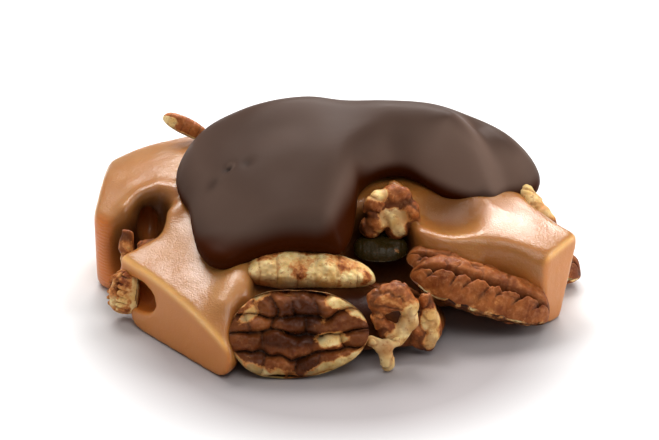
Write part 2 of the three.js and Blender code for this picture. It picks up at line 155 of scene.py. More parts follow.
def creases(x, y, z, scale, seed, width):
    """1 along winding lines, where the noise passes through zero."""
    return 1 - step(0, width, np.abs(lattice_noise(x, y, z, scale, seed)))


def closed_spline(points):
    """Centripetal Catmull-Rom curve through the points and back to the first."""
    knots = np.array([(p[0], p[1], p[2] if len(p) > 2 else 0) for p in points], float)
    p0, p1 = np.roll(knots, 1, axis=0), knots
    p2, p3 = np.roll(knots, -1, axis=0), np.roll(knots, -2, axis=0)
    d0, d1, d2 = (np.linalg.norm(b - a, axis=1)[:, None] ** 0.5 for a, b in ((p0, p1), (p1, p2), (p2, p3)))
    leave = ((p1 - p0) / d0 - (p2 - p0) / (d0 + d1) + (p2 - p1) / d1) * d1
    arrive = ((p2 - p1) / d1 - (p3 - p1) / (d1 + d2) + (p3 - p2) / d2) * d1
    rows = []
    for n in range(SPLINE_STEPS):
        t = n / SPLINE_STEPS
        cubic = (2 * p1 - 2 * p2 + leave + arrive) * t**3
        square = (-3 * p1 + 3 * p2 - 2 * leave - arrive) * t**2
        rows.append(p1 + leave * t + square + cubic)
    return np.stack(rows, axis=1).reshape(-1, 3)


def outline_distance(outline, x, y):
    """Signed distance in plan, negative inside the outline."""
    nearest = np.full(x.shape, np.inf)
    inside = np.zeros(x.shape, bool)
    for a, b in zip(outline, np.roll(outline, -1, axis=0)):
        ex, ey = b[0] - a[0], b[1] - a[1]
        t = np.clip(((x - a[0]) * ex + (y - a[1]) * ey) / (ex * ex + ey * ey + 1e-12), 0, 1)
        nearest = np.minimum(nearest, np.hypot(x - a[0] - t * ex, y - a[1] - t * ey))
        if a[1] != b[1]:
            crosses = (a[1] > y) != (b[1] > y)
            inside ^= crosses & (x < ex * (y - a[1]) / ey + a[0])
    return np.where(inside, -nearest, nearest)


def chain_distance(x, y, z, chain):
    """Distance to a run of rounded cones through points with their own radii."""
    nearest = None
    for (ax, ay, az, ar), (bx, by, bz, br) in zip(chain, chain[1:]):
        ex, ey, ez = bx - ax, by - ay, bz - az
        t = np.clip(((x - ax) * ex + (y - ay) * ey + (z - az) * ez) / (ex * ex + ey * ey + ez * ez), 0, 1)
        away = np.sqrt((x - ax - t * ex) ** 2 + (y - ay - t * ey) ** 2 + (z - az - t * ez) ** 2)
        away = away - ar - t * (br - ar)
        nearest = away if nearest is None else np.minimum(nearest, away)
    return nearest


# Mesh helpers

CELL_CORNERS = [(a & 1, (a >> 1) & 1, (a >> 2) & 1) for a in range(8)]
RELAX_SHARE = 0.5


def surface_of(field, low, high, cell):
    """Vertices and quads where the field is zero: one vertex in each cell that the surface crosses."""
    axes = [np.arange(a - 1.5 * cell, b + 2.5 * cell, cell) for a, b in zip(low, high)]
    x, y, z = axes[0][:, None, None], axes[1][None, :, None], axes[2][None, None, :]
    values = np.asarray(field(x, y, z), np.float32)
    inside = values < 0
    count = np.zeros([n - 1 for n in values.shape], np.int8)
    for i, j, k in CELL_CORNERS:
        count += inside[i : i + count.shape[0], j : j + count.shape[1], k : k + count.shape[2]]
    cells = np.argwhere((count > 0) & (count < 8))
    ids = np.full(count.shape, -1, np.int64)
    ids[tuple(cells.T)] = np.arange(len(cells))
    starts = np.array([axis[0] for axis in axes])
    vertices = starts + (cells + crossing_means(values, cells)) * cell
    return vertices, crossing_quads(inside, ids)


def crossing_means(values, cells):
    """Mean place in each cell, from 0 to 1 each way, where its edges cross the surface."""
    at = {c: values[cells[:, 0] + c[0], cells[:, 1] + c[1], cells[:, 2] + c[2]] for c in CELL_CORNERS}
    total = np.zeros((len(cells), 3))
    crossings = np.zeros(len(cells))
    for a in CELL_CORNERS:
        for n in range(3):
            if a[n]:
                continue
            b = tuple(1 if m == n else a[m] for m in range(3))
            cut = (at[a] < 0) != (at[b] < 0)
            t = np.where(cut, at[a] / np.where(cut, at[a] - at[b], 1), 0)
            for m in range(3):
                total[:, m] += np.where(cut, a[m] + (t if m == n else 0), 0)
            crossings += cut
    return total / crossings[:, None]


def crossing_quads(inside, ids):
    """One quad round each grid edge that crosses the surface, facing out."""
    quads = []
    for n in range(3):
        ahead = tuple(slice(1, None) if m == n else slice(None) for m in range(3))
        behind = tuple(slice(None, -1) if m == n else slice(None) for m in range(3))
        u, v = np.eye(3, dtype=int)[(n + 1) % 3], np.eye(3, dtype=int)[(n + 2) % 3]
        for sign in (True, False):
            edge = np.argwhere((inside[behind] != inside[ahead]) & (inside[behind] == sign))
            around = [edge, edge - u, edge - u - v, edge - v]
            quad = np.stack([ids[tuple(c.T)] for c in around], axis=1)
            quads.append(quad if sign else quad[:, ::-1])
    return np.concatenate(quads)


def relax(vertices, faces, rounds):
    """Moves each vertex part of the way to the mean of its neighbours."""
    sides = faces.shape[1]
    ends = np.concatenate([faces[:, [n, (n + 1) % sides]] for n in range(sides)])
    start, end = ends.T
    degree = np.bincount(start, minlength=len(vertices))[:, None]
    for _ in range(rounds):
        totals = np.stack([np.bincount(start, vertices[end, n], len(vertices)) for n in range(3)], 1)
        vertices = vertices + RELAX_SHARE * (totals / np.maximum(degree, 1) - vertices)
    return vertices


def above_floor(vertices):
    """Flattens what relief has pushed through the floor."""
    vertices[:, 2] = np.maximum(vertices[:, 2], 0)
    return vertices


def make_piece(name, nodes, vertices, faces, masks, material):
    """One visual piece from millimetres, riding with the body and standing for the nodes."""
    mesh = bpy.data.meshes.new(name)
    placed = (np.asarray(vertices, float) - FOOTPRINT_MIDDLE) * MM
    mesh.from_pydata(placed.tolist(), [], [tuple(map(int, face)) for face in faces])
    mesh.shade_smooth()
    for key, values in masks.items():
        layer = mesh.attributes.new(key, "FLOAT", "POINT")
        layer.data.foreach_set("value", np.broadcast_to(np.asarray(values, np.float32), len(placed)).copy())
    mesh.materials.append(material)
    piece = bpy.data.objects.new(name, mesh)
    bpy.context.scene.collection.objects.link(piece)
    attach(piece, "root")
    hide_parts(*nodes)


# Caramel and chocolate shapes, as on the solids

CARAMEL_OUTLINE = [
    (32, -14.6), (40, -17), (46, -17), (49, -8.5), (46, -5), (43, -1), (39.5, 4.5), (36, 11),
    (33, 19), (31, 26), (27, 33), (20, 32.5), (12, 29.5), (4, 29.5), (-4, 32), (-13, 34.5),
    (-21, 33.5), (-28, 29), (-35, 25), (-43, 23), (-50, 19), (-52, 8), (-50.5, 0), (-46, -3.6),
    (-41.8, -1.8), (-39, 2.4), (-35.6, 3.2), (-33.2, 1), (-32.6, -2.6), (-34.4, -5.6), (-38, -7.6),
    (-43, -11), (-38, -25), (-28, -36), (-22, -39.5), (-18.6, -36.5), (-16.8, -30), (-17, -24),
    (-15, -17), (-11, -12), (-4, -9), (3, -5.5), (8, -3), (12.5, -4), (15, -8), (16.5, -12),
    (19, -13.6), (24, -14),
]
# Knife cuts: the way each face looks, its distance from the origin and how soft its edges are
CARAMEL_CUTS = {
    "front left": dict(facing=(-0.756, -0.655, 0.115), distance=40.3, softness=0.5),
    "right end": dict(facing=(0.806, -0.592, 0), distance=42.8, softness=0.8),
    "left end": dict(facing=(-0.996, 0.094, 0), distance=48.7, softness=1.6),
    "under the right end": dict(facing=(0.952, 0.167, -0.257), distance=40.5, softness=0.5),
    "back right": dict(facing=(0.707, 0.707, 0), distance=42, softness=0.5),
}
# Narrow cut down the left lobe's front corner: it ends in the gap in front of that lobe
LEFT_BAND = dict(facing=(-0.7071, -0.7071, 0), distance=33.3, softness=2)
LEFT_BAND_FRONT = -6
# Low domes: crown's place, height, rise per mm along x and y, and where it has dropped by SWELL_DROP
CARAMEL_SWELLS = {
    "left lobe": ((-40, 8), 21.2, (0.28, 0.24), (30, 30)),
    "front left lobe": ((-28, -18), 14.7, (0.2, 0.32), (60, 36)),
    "right lobe": ((34, -4), 17.8, (-0.12, 0.08), (50, 20)),
    "back right lobe": ((26, 26), 16, (-0.1, -0.2), (30, 30)),
    "back left lobe": ((-17, 30), 17, (0, -0.3), (26, 26)),
}
SWELL_BLEND = 3
SWELL_DROP = 10
MOUND_RISE = 0.6
MOUND_SHELF = 8
MOUND_STEP = 3
FOOT_ROUNDING = 5
LOBE_HOLLOW = ((25, -21, 0), (15, 11, 14))
LOBE_HOLLOW_BLEND = 1
# Low caramel between the front pecans, which holds them: middle and radii
CARAMEL_WEBS = [((-3, -21.5, 4.5), (18, 10, 7.5)), ((12, -20.5, 3.5), (9.5, 8, 5.5))]
WEB_BLEND = 3
# Dents in the soft caramel: middle, radii and how softly their edges run out
CARAMEL_DENTS = [
    ((22, -5.5, 23.6), (8.5, 10, 6.6), 2.2),
    ((-26, -25, 21), (6, 9, 6.6), 2),
    ((-42, -5, 9), (4, 5, 9), 2),
    ((-37.8, 4, 12.6), (2, 5, 4.2), 1),
    ((-43.4, -12.4, 4.4), (3.2, 5, 5.4), 0.8),
    ((-17, -33, 9), (2.4, 6, 6), 1.5),
]
# Folds drawn up around the nuts: chains of x, y, z and radius, and how softly they merge
CARAMEL_FOLDS = [
    ([(11.6, 0.6, 22.8, 1.3), (14.4, -2.4, 22.4, 1.2), (16.6, -6.5, 19.4, 1.1), (17.6, -9.5, 17, 1.1)], 1.6),
    ([(17.6, -9.5, 17, 1.1), (19, -11.5, 15.6, 1), (27, -14, 13.8, 0.9)], 1.8),
    ([(31, 0.5, 17.2, 1.1), (29, -5, 16.9, 1.3), (26.4, -10.5, 15.9, 0.9)], 2.2),
    ([(-30.6, -1, 18.6, 1.8), (-31.8, -2.5, 18, 1.8), (-32.4, -6, 15.4, 1.7), (-34, -9, 13.4, 1.3)], 1.2),
    ([(-42, 1, 18, 0.8), (-39, 4, 19.6, 1), (-35.5, 5, 20.4, 1.1), (-32, 4, 20.6, 1.1)], 2.4),
    ([(-20.5, -27.5, 10.4, 2.2), (-19, -24, 12.4, 2.2), (-18, -20, 14.4, 2)], 3.4),
]
# Soft unevenness of the caramel: height, size and seed
CARAMEL_LUMPS = [(0.4, 9, 5), (0.16, 3.5, 6)]
# Painted shade in the hollows: between the nuts, in the hole of the left lobe and under the chocolate's
# edge: middle, reach and how dark
CARAMEL_SHADE_SPOTS = [
    ((-35.8, 2.2, 15.4), 5.4, 0.88), ((-38, -1, 10), 7.5, 1), ((9, -5, 13), 9, 1), ((-6, -14, 10), 9, 1),
    ((-6, -25, 9), 10, 1), ((4, -25, 8), 10, 1), ((13, -22, 7), 9, 1), ((20, -18, 5), 7, 1),
    ((22.5, -2, 16.5), 7.5, 0.5),
]
NOTCH = dict(at=(-38.2, -14.9, 7), radii=(6, 4, 3.1), turn=-0.857, softness=0.6)
# How far from its plane a knife cut's face still counts as cut, and the same for the narrow cut
CUT_FACE_WIDTH = 0.5
BAND_FACE_WIDTH = 1.1
# Painted shade on the uncut walls, a deeper orange: how deep below the top it starts and is full, its
# strength, and the share of it left at the back
WALL_DEPTHS = (3, 9)
WALL_STRENGTH = 0.75
WALL_BEHIND = 0.35

# Edge of the pool: x, y and the height of its underside there
CHOCOLATE_RIM = [
    (-32.6, 3.5, 20.5), (-31.4, -1.5, 19.5), (-29.4, -5, 18.2), (-28.6, -11, 16.6), (-27.4, -16.6, 15.4),
    (-24.8, -21.4, 14.6), (-20.8, -23.2, 14.8), (-16, -21.6, 16), (-10, -20.8, 17.8), (-4, -20.6, 17.6),
    (1.6, -20.6, 16.8), (3.8, -16, 17.4), (4.2, -8, 18.8), (5, -2.4, 20.6), (8, 1.6, 22.4),
    (13.6, 4, 22.8), (18.4, 2.6, 20.2), (24, 0.2, 17.8), (30, -0.4, 16.2), (37, 2.6, 16),
    (42, 9.5, 16.8), (41, 17, 18), (33, 24.5, 19), (22, 29, 18.5), (8, 29.5, 18.5),
    (-8, 29.5, 19), (-19, 27, 20), (-27.5, 19.5, 21), (-31.8, 11, 21),
]
# Added to squared distances, so that no point of the edge weighs too much
RIM_EVENING = 4
CHOCOLATE_CENTRE = (2, 12)
REACH_LEFT = 33.5
REACH_RIGHT = 39.5
REACH_BACK = 18
REACH_TONGUE = 34
REACH_ARM = 11
# Here, from left to right, the reach in front goes over from the tongue's to the arm's
TONGUE_TO_ARM = (-3, 12)
CHOCOLATE_THICKNESS = 4
CREST_WAVE = 1.1
CHOCOLATE_BITE = 2
UNDER_ROUNDING = 3.4
# Soft unevenness of the chocolate: height, size and seed
CHOCOLATE_LUMP = (0.1, 10, 3)
# How softly the dome runs out into its edge, and how full it is: across, front to back, and over all
DOME_FOOT = 0.25
DOME_ACROSS = 3
DOME_DEEP = 1.8
DOME_FULLNESS = 0.8
# Soft waves in the top: from, to, height and width
CHOCOLATE_WAVES = [
    ((-15, 12), (-6, 17), 1.4, 6.5),
    ((10, 14), (18, 15), 0.6, 7),
    ((23, 8.5), (30, 3), 1.8, 3),
    ((29, 13), (34.5, 6), -2.2, 3.2),
    ((-22, -18), (-22, -14), 0.35, 5),
    ((-8, -8), (-2, -14), -0.7, 6),
    ((-18, 2), (-8, 4), -0.5, 4.5),
]
# Small pits in the top: place, depth and width; their depth also sets the painted shade in them
CHOCOLATE_PITS = [((-20.8, -3.4), 1.1, 0.8), ((-17, -3.8), 0.5, 1.1), ((-23.5, -5), 0.4, 1.3)]
# Painted shade at the foot of the chocolate, its dark lip: its height, lower under the arm and at the left,
# higher at the inner corner
LIP_HEIGHT = 6.4
LIP_LOSS_ARM = 1.4
LIP_LOSS_LEFT = 2.6
LIP_GAIN_FLANK = 4.5
# Painted sheen: slopes of the top where the lighter, sheen-like colour starts and is full, measured over
# twice this span
SHEEN_SLOPES = (0.4, 1.6)
SLOPE_SPAN = 0.4
BOUNDS_LOW = (-54, -43, 0)
BOUNDS_HIGH = (54, 43, CANDY_TOP + 4)

caramel_plan = closed_spline(CARAMEL_OUTLINE)
chocolate_plan = closed_spline(CHOCOLATE_RIM)


def rim_height(x, y):
    total, weights = 0, 0
    for px, py, pz in chocolate_plan:
        weight = 1 / ((x - px) ** 2 + (y - py) ** 2 + RIM_EVENING) ** 2
        total = total + weight * pz
        weights = weights + weight
    return total / weights


def caramel_top(x, y):
    inside = -outline_distance(chocolate_plan, x, y)
    top = rim_height(x, y) + MOUND_RISE * np.minimum(inside, MOUND_SHELF) - MOUND_STEP
    for at, height, slope, reach in CARAMEL_SWELLS.values():
        dx, dy = x - at[0], y - at[1]
        fall = SWELL_DROP * ((dx / reach[0]) ** 2 + (dy / reach[1]) ** 2)
        top = smooth_max(top, height + slope[0] * dx + slope[1] * dy - fall, SWELL_BLEND)
    return top


def cut_distance(cut, x, y, z):
    nx, ny, nz = cut["facing"]
    return nx * x + ny * y + nz * z - cut["distance"]


def band_distance(x, y, z):
    return np.minimum(cut_distance(LEFT_BAND, x, y, z), y - LEFT_BAND_FRONT)


def notch_distance(x, y, z):
    (cx, cy, cz), turn = NOTCH["at"], NOTCH["turn"]
    dx, dy = x - cx, y - cy
    along = dx * math.cos(turn) + dy * math.sin(turn)
    across = -dx * math.sin(turn) + dy * math.cos(turn)
    return ellipsoid(along, across, z - cz, (0, 0, 0), NOTCH["radii"])


def caramel_field(x, y, z):
    plan_x, plan_y = np.broadcast_arrays(x[:, :, 0], y[:, :, 0])
    side = outline_distance(caramel_plan, plan_x, plan_y)[:, :, None]
    top = caramel_top(plan_x, plan_y)[:, :, None]
    field = smooth_max(z - top, side, CORNER_ROUNDING)
    for chain, blend in CARAMEL_FOLDS:
        field = smooth_min(field, chain_distance(x, y, z, chain), blend)
    for middle, radii, blend in CARAMEL_DENTS:
        field = smooth_max(field, -ellipsoid(x, y, z, middle, radii), blend)
    for height, size, seed in CARAMEL_LUMPS:
        field = field + height * lattice_noise(x, y, z, size, seed)
    field = smooth_max(field, -ellipsoid(x, y, z, *LOBE_HOLLOW), LOBE_HOLLOW_BLEND)
    for middle, radii in CARAMEL_WEBS:
        field = smooth_min(field, ellipsoid(x, y, z, middle, radii), WEB_BLEND)
    field = smooth_max(field, -z, FOOT_ROUNDING)
    for cut in CARAMEL_CUTS.values():
        field = smooth_max(field, cut_distance(cut, x, y, z), cut["softness"])
    field = smooth_max(field, band_distance(x, y, z), LEFT_BAND["softness"])
    return smooth_max(field, -notch_distance(x, y, z), NOTCH["softness"])


def caramel_masks(x, y, z):
    """Where the caramel is cut or ribbed, and where light is painted: a highlight on its cut edges, deeper
    orange shade on its uncut walls and dark shade in the hollows between the nuts.
    """
    to_cuts = [bump(cut_distance(cut, x, y, z), 0, CUT_FACE_WIDTH) for cut in CARAMEL_CUTS.values()]
    near_cut = np.max(to_cuts, axis=0)
    band = bump(band_distance(x, y, z), 0, BAND_FACE_WIDTH) * step(LEFT_BAND_FRONT, LEFT_BAND_FRONT + 2, y)
    below = caramel_top(x, y) - z
    in_front = WALL_BEHIND + (1 - WALL_BEHIND) * step(14, 2, y)
    shaded_wall = step(*WALL_DEPTHS, below) * (1 - near_cut) * in_front
    shade_spots = [amount * spot(x, y, z, middle, reach) for middle, reach, amount in CARAMEL_SHADE_SPOTS]
    return {
        "cut": near_cut * step(0.4, 1.4, below),
        # Painted highlight along the top edge of each cut face
        "rim": near_cut * bump(below, 0.6, 0.7),
        "band": band,
        # Painted shade: deeper orange on the walls below the top, weaker towards the back
        "deep": WALL_STRENGTH * shaded_wall * (1 - band),
        # Painted shade in the hollows
        "hollow_shade": np.max(shade_spots, axis=0),
    }


def dome_share(x, y):
    """Share of the full rise over the rim: a flat crest that runs down into the tongue in front."""
    middle_x, middle_y = CHOCOLATE_CENTRE
    across = np.abs(x - middle_x) / np.where(x < middle_x, REACH_LEFT, REACH_RIGHT)
    in_front = REACH_TONGUE + (REACH_ARM - REACH_TONGUE) * step(*TONGUE_TO_ARM, x)
    deep = np.abs(y - middle_y) / np.where(y < middle_y, in_front, REACH_BACK)
    return smooth_max(0, 1 - across**DOME_ACROSS - deep**DOME_DEEP, DOME_FOOT) ** DOME_FULLNESS


def pit_depth(x, y):
    total = np.zeros(np.broadcast(x, y).shape)
    for (cx, cy), depth, width in CHOCOLATE_PITS:
        total = total + depth * np.exp(-((x - cx) ** 2 + (y - cy) ** 2) / width**2)
    return total


def chocolate_top(x, y):
    rim = rim_height(x, y) + CHOCOLATE_THICKNESS
    top = rim + (CANDY_TOP - CREST_WAVE - rim) * dome_share(x, y)
    for start, end, height, width in CHOCOLATE_WAVES:
        ex, ey = end[0] - start[0], end[1] - start[1]
        t = np.clip(((x - start[0]) * ex + (y - start[1]) * ey) / (ex * ex + ey * ey), 0, 1)
        away = (x - start[0] - t * ex) ** 2 + (y - start[1] - t * ey) ** 2
        top = top + height * np.exp(-away / width**2)
    return np.minimum(top - pit_depth(x, y), CANDY_TOP)


def chocolate_field(x, y, z):
    plan_x, plan_y = np.broadcast_arrays(x[:, :, 0], y[:, :, 0])
    side = outline_distance(chocolate_plan, plan_x, plan_y)[:, :, None]
    rim = rim_height(plan_x, plan_y)[:, :, None]
    under = np.maximum(caramel_top(plan_x, plan_y)[:, :, None] - CHOCOLATE_BITE, rim)
    lid = smooth_max(z - chocolate_top(plan_x, plan_y)[:, :, None], side, CHOCOLATE_ROUNDING)
    height, size, seed = CHOCOLATE_LUMP
    lid = lid + height * lattice_noise(x, y, z, size, seed)
    return smooth_max(lid, under - z, UNDER_ROUNDING)


def lip_shade_share(x, y, z):
    """1 at the foot of the chocolate, where shade is painted dark, 0 above that dark lip."""
    left = step(-19, -26, x) * step(-19, -12, y)
    flank = step(-4, 2, x) * step(8, 4, x) * step(4, -4, y)
    height = LIP_HEIGHT - LIP_LOSS_ARM * step(2, 12, x) - LIP_LOSS_LEFT * left + LIP_GAIN_FLANK * flank
    return step(height, 0.5 * height, z - rim_height(x, y))


def chocolate_masks(x, y, z):
    """Painted shade at the chocolate's foot, its dark lip, and in its pits, and painted sheen on its steeper
    slopes.
    """
    rise_x = chocolate_top(x + SLOPE_SPAN, y) - chocolate_top(x - SLOPE_SPAN, y)
    rise_y = chocolate_top(x, y + SLOPE_SPAN) - chocolate_top(x, y - SLOPE_SPAN)
    slope_sheen = step(*SHEEN_SLOPES, np.hypot(rise_x, rise_y) / (2 * SLOPE_SPAN))
    return {"lip_shade": lip_shade_share(x, y, z), "slope_sheen": slope_sheen, "pit_shade": np.clip(pit_depth(x, y), 0, 1)}


# Pecan shapes

# Bands across the inner face of a half, from one wing's edge to the other's, and the blocks in each
FACE_BANDS = (-1.0, -0.46, -0.03, 0.42, 1.0)
FACE_BLOCKS = (5, 4, 4, 5)
BACK_BLOCKS = 8
SPLIT_BLOCKS = 7
# Width of a long groove, in shares of half the width
BACK_GROOVE_WIDTH = 0.07
# Relief in shares of a half's height
FACE_HEIGHT = 0.18
FACE_DEPTH = 0.48
FACE_ROUGHNESS = 0.07
BACK_ROUGHNESS = 0.03
BACK_GROOVE_DEPTH = 0.42
BACK_LUMP_HEIGHT = 0.42
BACK_WING_DROP = 0.34
BACK_FAN_DEPTH = 0.02
BACK_DENT_DEPTH = 0.05
BACK_CREASE_DEPTH = 0.05
SPLIT_CRACK_DEPTH = 0.12
SPLIT_WAVE_HEIGHT = 0.12
SPLIT_ROUGHNESS = 0.1
# A half where HALVES says nothing else. split: broken along its length; groove: place of the long grooves;
# cleft: nick in its end; lean: wider on one side; ragged: uneven outline; marks: breaks in the bands;
# pale, rim, worn, spots: skin off all over, along the rim, in streaks, in places; glazed: dark there. The
# darkness setting makes the skin darker all over; on pecan_deep and pecan_recess_low, deep in the recess, it
# is painted shade
PLAIN_HALF = dict(
    split=False, groove=0.34, cleft=0.0, lean=0.0, ragged=0.035, marks={},
    pale=0, rim=0.7, worn=0.25, spots=[], dark_and_shade=0, glazed=[], fineness=0.55,
)


def pillow(t, sharpness):
    """A rounded block: 0 at the ends of 0 to 1, nearly flat between."""
    return np.sqrt(np.clip(1 - np.abs(2 * t - 1) ** sharpness, 0, 1))


def blocks_along(u, seed, count, marks=None):
    """Height of the block at each place, and how far through it, for blocks of uneven length."""
    random = np.random.default_rng(seed)
    if marks is None:
        marks = np.linspace(-1, 1, count + 1)[1:-1] + random.uniform(-0.3, 0.3, count - 1) / count
    edges = np.concatenate([[-1.05], np.sort(marks), [1.05]])
    index = np.clip(np.searchsorted(edges, u) - 1, 0, len(edges) - 2)
    through = (u - edges[index]) / (edges[index + 1] - edges[index])
    heights = random.uniform(0.55, 1, len(edges))
    return heights[index], np.clip(through, 0, 1)


def face_relief(u, w, x, y, seed, marks):
    """Inner face: wings and lobes in uneven blocks, with cracks between them."""
    across = w + 0.17 * flat_noise(x, y, 5, seed, seed) + 0.06 * flat_noise(x, y, 1.8, seed + 15)
    along = u + 0.1 * flat_noise(x, y, 4.5, seed + 1, seed) + 0.1 * (w * w - 0.3)
    along = along + 0.035 * flat_noise(x, y, 1.6, seed + 16, seed)
    depth = 0.55 + 0.45 * flat_noise(x, y, 3, seed + 17, 3)
    relief = np.zeros_like(x)
    tone = np.zeros_like(x)
    for band, (low, high) in enumerate(zip(FACE_BANDS, FACE_BANDS[1:])):
        within = (across >= low) & (across < high)
        heights, through = blocks_along(along, seed + 20 + band, FACE_BLOCKS[band], marks.get(band))
        share = np.clip((across - low) / (high - low), 0, 1)
        block = (1 - depth * (1 - pillow(through, 2.8))) * pillow(share, 2.6)
        relief = np.where(within, block * (0.45 + 0.55 * heights), relief)
        tone = np.where(within, heights, tone)
    return relief, tone


def scallops(u, side, hand, x, y, seed):
    """Soft blocks down each wing of a rounded back."""
    lumps = np.zeros_like(x)
    for sign in (-1, 1):
        swing = u + 0.22 * (side - 0.5) + 0.045 * flat_noise(x, y, 2.4, seed + 4)
        heights, through = blocks_along(swing, seed + 40 + sign, BACK_BLOCKS)
        bulge = 1 - (0.3 + 0.7 * heights) * step(1.02, 0.6, side) * (1 - pillow(through, 2.6))
        lumps = np.where(hand == sign, bulge, lumps)
    return lumps


def back_relief(u, w, x, y, seed, groove_place):
    """Rounded back: a middle ridge between two long grooves, and wings in soft scallops, with shade painted
    in the grooves, hollows and wrinkles.
    """
    side = np.abs(w)
    hand = np.sign(w)
    lumps = scallops(u, side, hand, x, y, seed)
    wander = 0.05 * flat_noise(x, hand * 9, 5, seed + 2, seed)
    groove_at = groove_place + wander - 0.04 * (lumps - 0.6)
    groove = bump(side, groove_at, BACK_GROOVE_WIDTH)
    wing = step(0.02, 0.16, side - groove_at)
    fan = np.sin(x * 4.2 + hand * side * 3 + 2.4 * flat_noise(x, y, 2.4, seed + 6))
    dents = flat_noise(x, side * 6, 1.7, seed + 7, seed)
    relief = wing * (BACK_LUMP_HEIGHT * lumps - BACK_WING_DROP) - BACK_GROOVE_DEPTH * groove
    relief = relief + BACK_FAN_DEPTH * fan * (0.2 + 0.8 * wing)
    relief = relief + (1 - wing) * BACK_DENT_DEPTH * dents
    wrinkles = creases(x, side * 9, 0 * x + seed, 2.6, seed + 12, 0.16)
    relief = relief - BACK_CREASE_DEPTH * wrinkles
    # Painted shade: darker in the long grooves, between the scallops and in the wrinkles, lighter on the
    # raised dents
    dark_and_shade = groove + wing * (0.85 - lumps) * 1.8 - 0.3 * dents * (1 - wing) + 0.4 * wrinkles
    return relief, np.clip(dark_and_shade, 0, 1)


def split_relief(u, x, y, seed):
    """A half that broke along its length: nearly smooth flesh with a few cracks across it, with shade
    painted in the cracks.
    """
    swing = u + 0.05 * flat_noise(x, y, 3, seed + 4, seed)
    _, through = blocks_along(swing, seed + 60, SPLIT_BLOCKS)
    crack = 1 - pillow(through, 8)
    relief = -SPLIT_CRACK_DEPTH * crack + SPLIT_WAVE_HEIGHT * flat_noise(x, y, 4, seed + 5)
    relief = relief + SPLIT_ROUGHNESS * layered_noise(x, y, 0 * x + seed, 1.8, seed + 31)
    return relief, np.clip(0.7 * crack, 0, 1)


def spots_over(u, w, spots):
    total = np.zeros_like(u)
    for at_u, at_w, reach_u, reach_w, amount in spots:
        total += amount * np.exp(-(((u - at_u) / reach_u) ** 2 + ((w - at_w) / reach_w) ** 2) ** 2)
    return total


def half_in_plan(u, w, size, look):
    """Seen from above: a long oval, ragged along its edge, with a nick in one end."""
    length, width, _ = size
    x = u * length / 2 * (1 - look["cleft"] * bump(w, 0.05, 0.2) * step(0.2, 1, u))
    outline = np.sqrt(np.maximum(0, 1 - np.abs(u) ** 2.4)) * (1 - 0.1 * u)
    edge_noise = 1 + look["ragged"] * flat_noise(x, np.sign(w) * 7, 2.6, look["seed"] + 9, look["seed"])
    leaning = np.where(w < 0, 1 - look["lean"], 1 + look["lean"])
    return x, w * outline * edge_noise * width / 2 * leaning, outline


def half_flesh(u, w, x, upper, look):
    """How far the dark skin is off the pale flesh."""
    rim = np.where(upper, 0, 1) * step(0.72, 0.96, np.abs(w)) + bump(np.abs(w), 1, 0.05)
    streaks = flat_noise(x, w * 1.2, 1.5, look["seed"] + 30, upper * 5.0)
    flesh = look["pale"] + look["rim"] * rim * (0.75 + 0.9 * streaks)
    return flesh + spots_over(u, w, look["spots"]) + look["worn"] * streaks * (1 - rim)


def pecan_grid(size, look):
    """A half as closed rings from end to end: positions, faces and colour masks."""
    length, _, height = size
    seed, fineness = look["seed"], look["fineness"]
    rings, sides = int(PECAN_RINGS * fineness), int(PECAN_SIDES * fineness) // 2 * 2
    rows = -np.cos(np.pi * (np.arange(rings) + 0.5) / rings)
    turns = 2 * np.arange(sides) / sides
    upper = np.broadcast_to(turns < 1, (rings, sides))
    around = np.where(turns < 1, -np.cos(np.pi * turns), np.cos(np.pi * (turns - 1)))
    u, w = np.broadcast_arrays(rows[:, None], around[None, :])
    x, y, outline = half_in_plan(u, w, size, look)
    rough = layered_noise(x, y, upper * 8.0 + seed, 2.2, seed + 8)
    if look["split"]:
        on_back, back_shade = split_relief(u, x, y, seed)
    else:
        on_back, back_shade = back_relief(u, w, x, y, seed, look["groove"])
    on_face, tone = face_relief(u, w * outline, x, y, seed, look["marks"])
    arch = np.maximum(0, 1 - w * w)
    ends = np.sqrt(np.maximum(0, 1 - u**4))
    back = arch**0.55 + on_back * arch**0.2 + BACK_ROUGHNESS * rough
    face = FACE_HEIGHT - FACE_DEPTH * on_face * arch**0.3 - FACE_ROUGHNESS * rough
    z = np.where(upper, back, face) * ends * height
    # Darker skin and painted shade: the darkness setting, darker on the lower blocks of the inner face, and
    # dark in the glazed spots
    dark_and_shade = look["dark_and_shade"] + 0.9 * (0.8 - tone) * ~upper + spots_over(u, w, look["glazed"])
    masks = {
        # Painted shade in the grooves, the cracks between the blocks and the low parts of the inner face
        "groove": np.where(upper, back_shade, np.clip(1.2 - 1.6 * on_face, 0, 1)),
        "flesh": half_flesh(u, w, x, upper, look),
        "tone": np.clip(dark_and_shade, 0, 1),
    }
    positions = np.stack([x, y, z], axis=-1).reshape(-1, 3)
    tips = np.array([[-length / 2, 0, height * 0.3], [length / 2, 0, height * 0.3]])
    masks = {key: np.append(value.ravel(), [0.3, 0.3]) for key, value in masks.items()}
    return np.concatenate([positions, tips]), ring_faces(rings, sides), masks


def ring_faces(rings, sides):
    """Quads between the rings, and a fan of triangles to the tip at either end."""
    ring, side = np.meshgrid(np.arange(rings - 1), np.arange(sides), indexing="ij")
    a = ring * sides + side
    b = ring * sides + (side + 1) % sides
    faces = np.stack([a, a + sides, b + sides, b], axis=-1).reshape(-1, 4).tolist()
    first, last = rings * sides, (rings - 1) * sides
    for n in range(sides):
        after = (n + 1) % sides
        faces.append((first, n, after))
        faces.append((first + 1, last + after, last + n))
    return faces


def placement(at, along, back):
    x = Vector(along).normalized()
    z = Vector(back)
    z = (z - x * z.dot(x)).normalized()
    y = z.cross(x)
    turn = Matrix((x, y, z)).transposed()
    return np.array(turn), np.array(at, float)


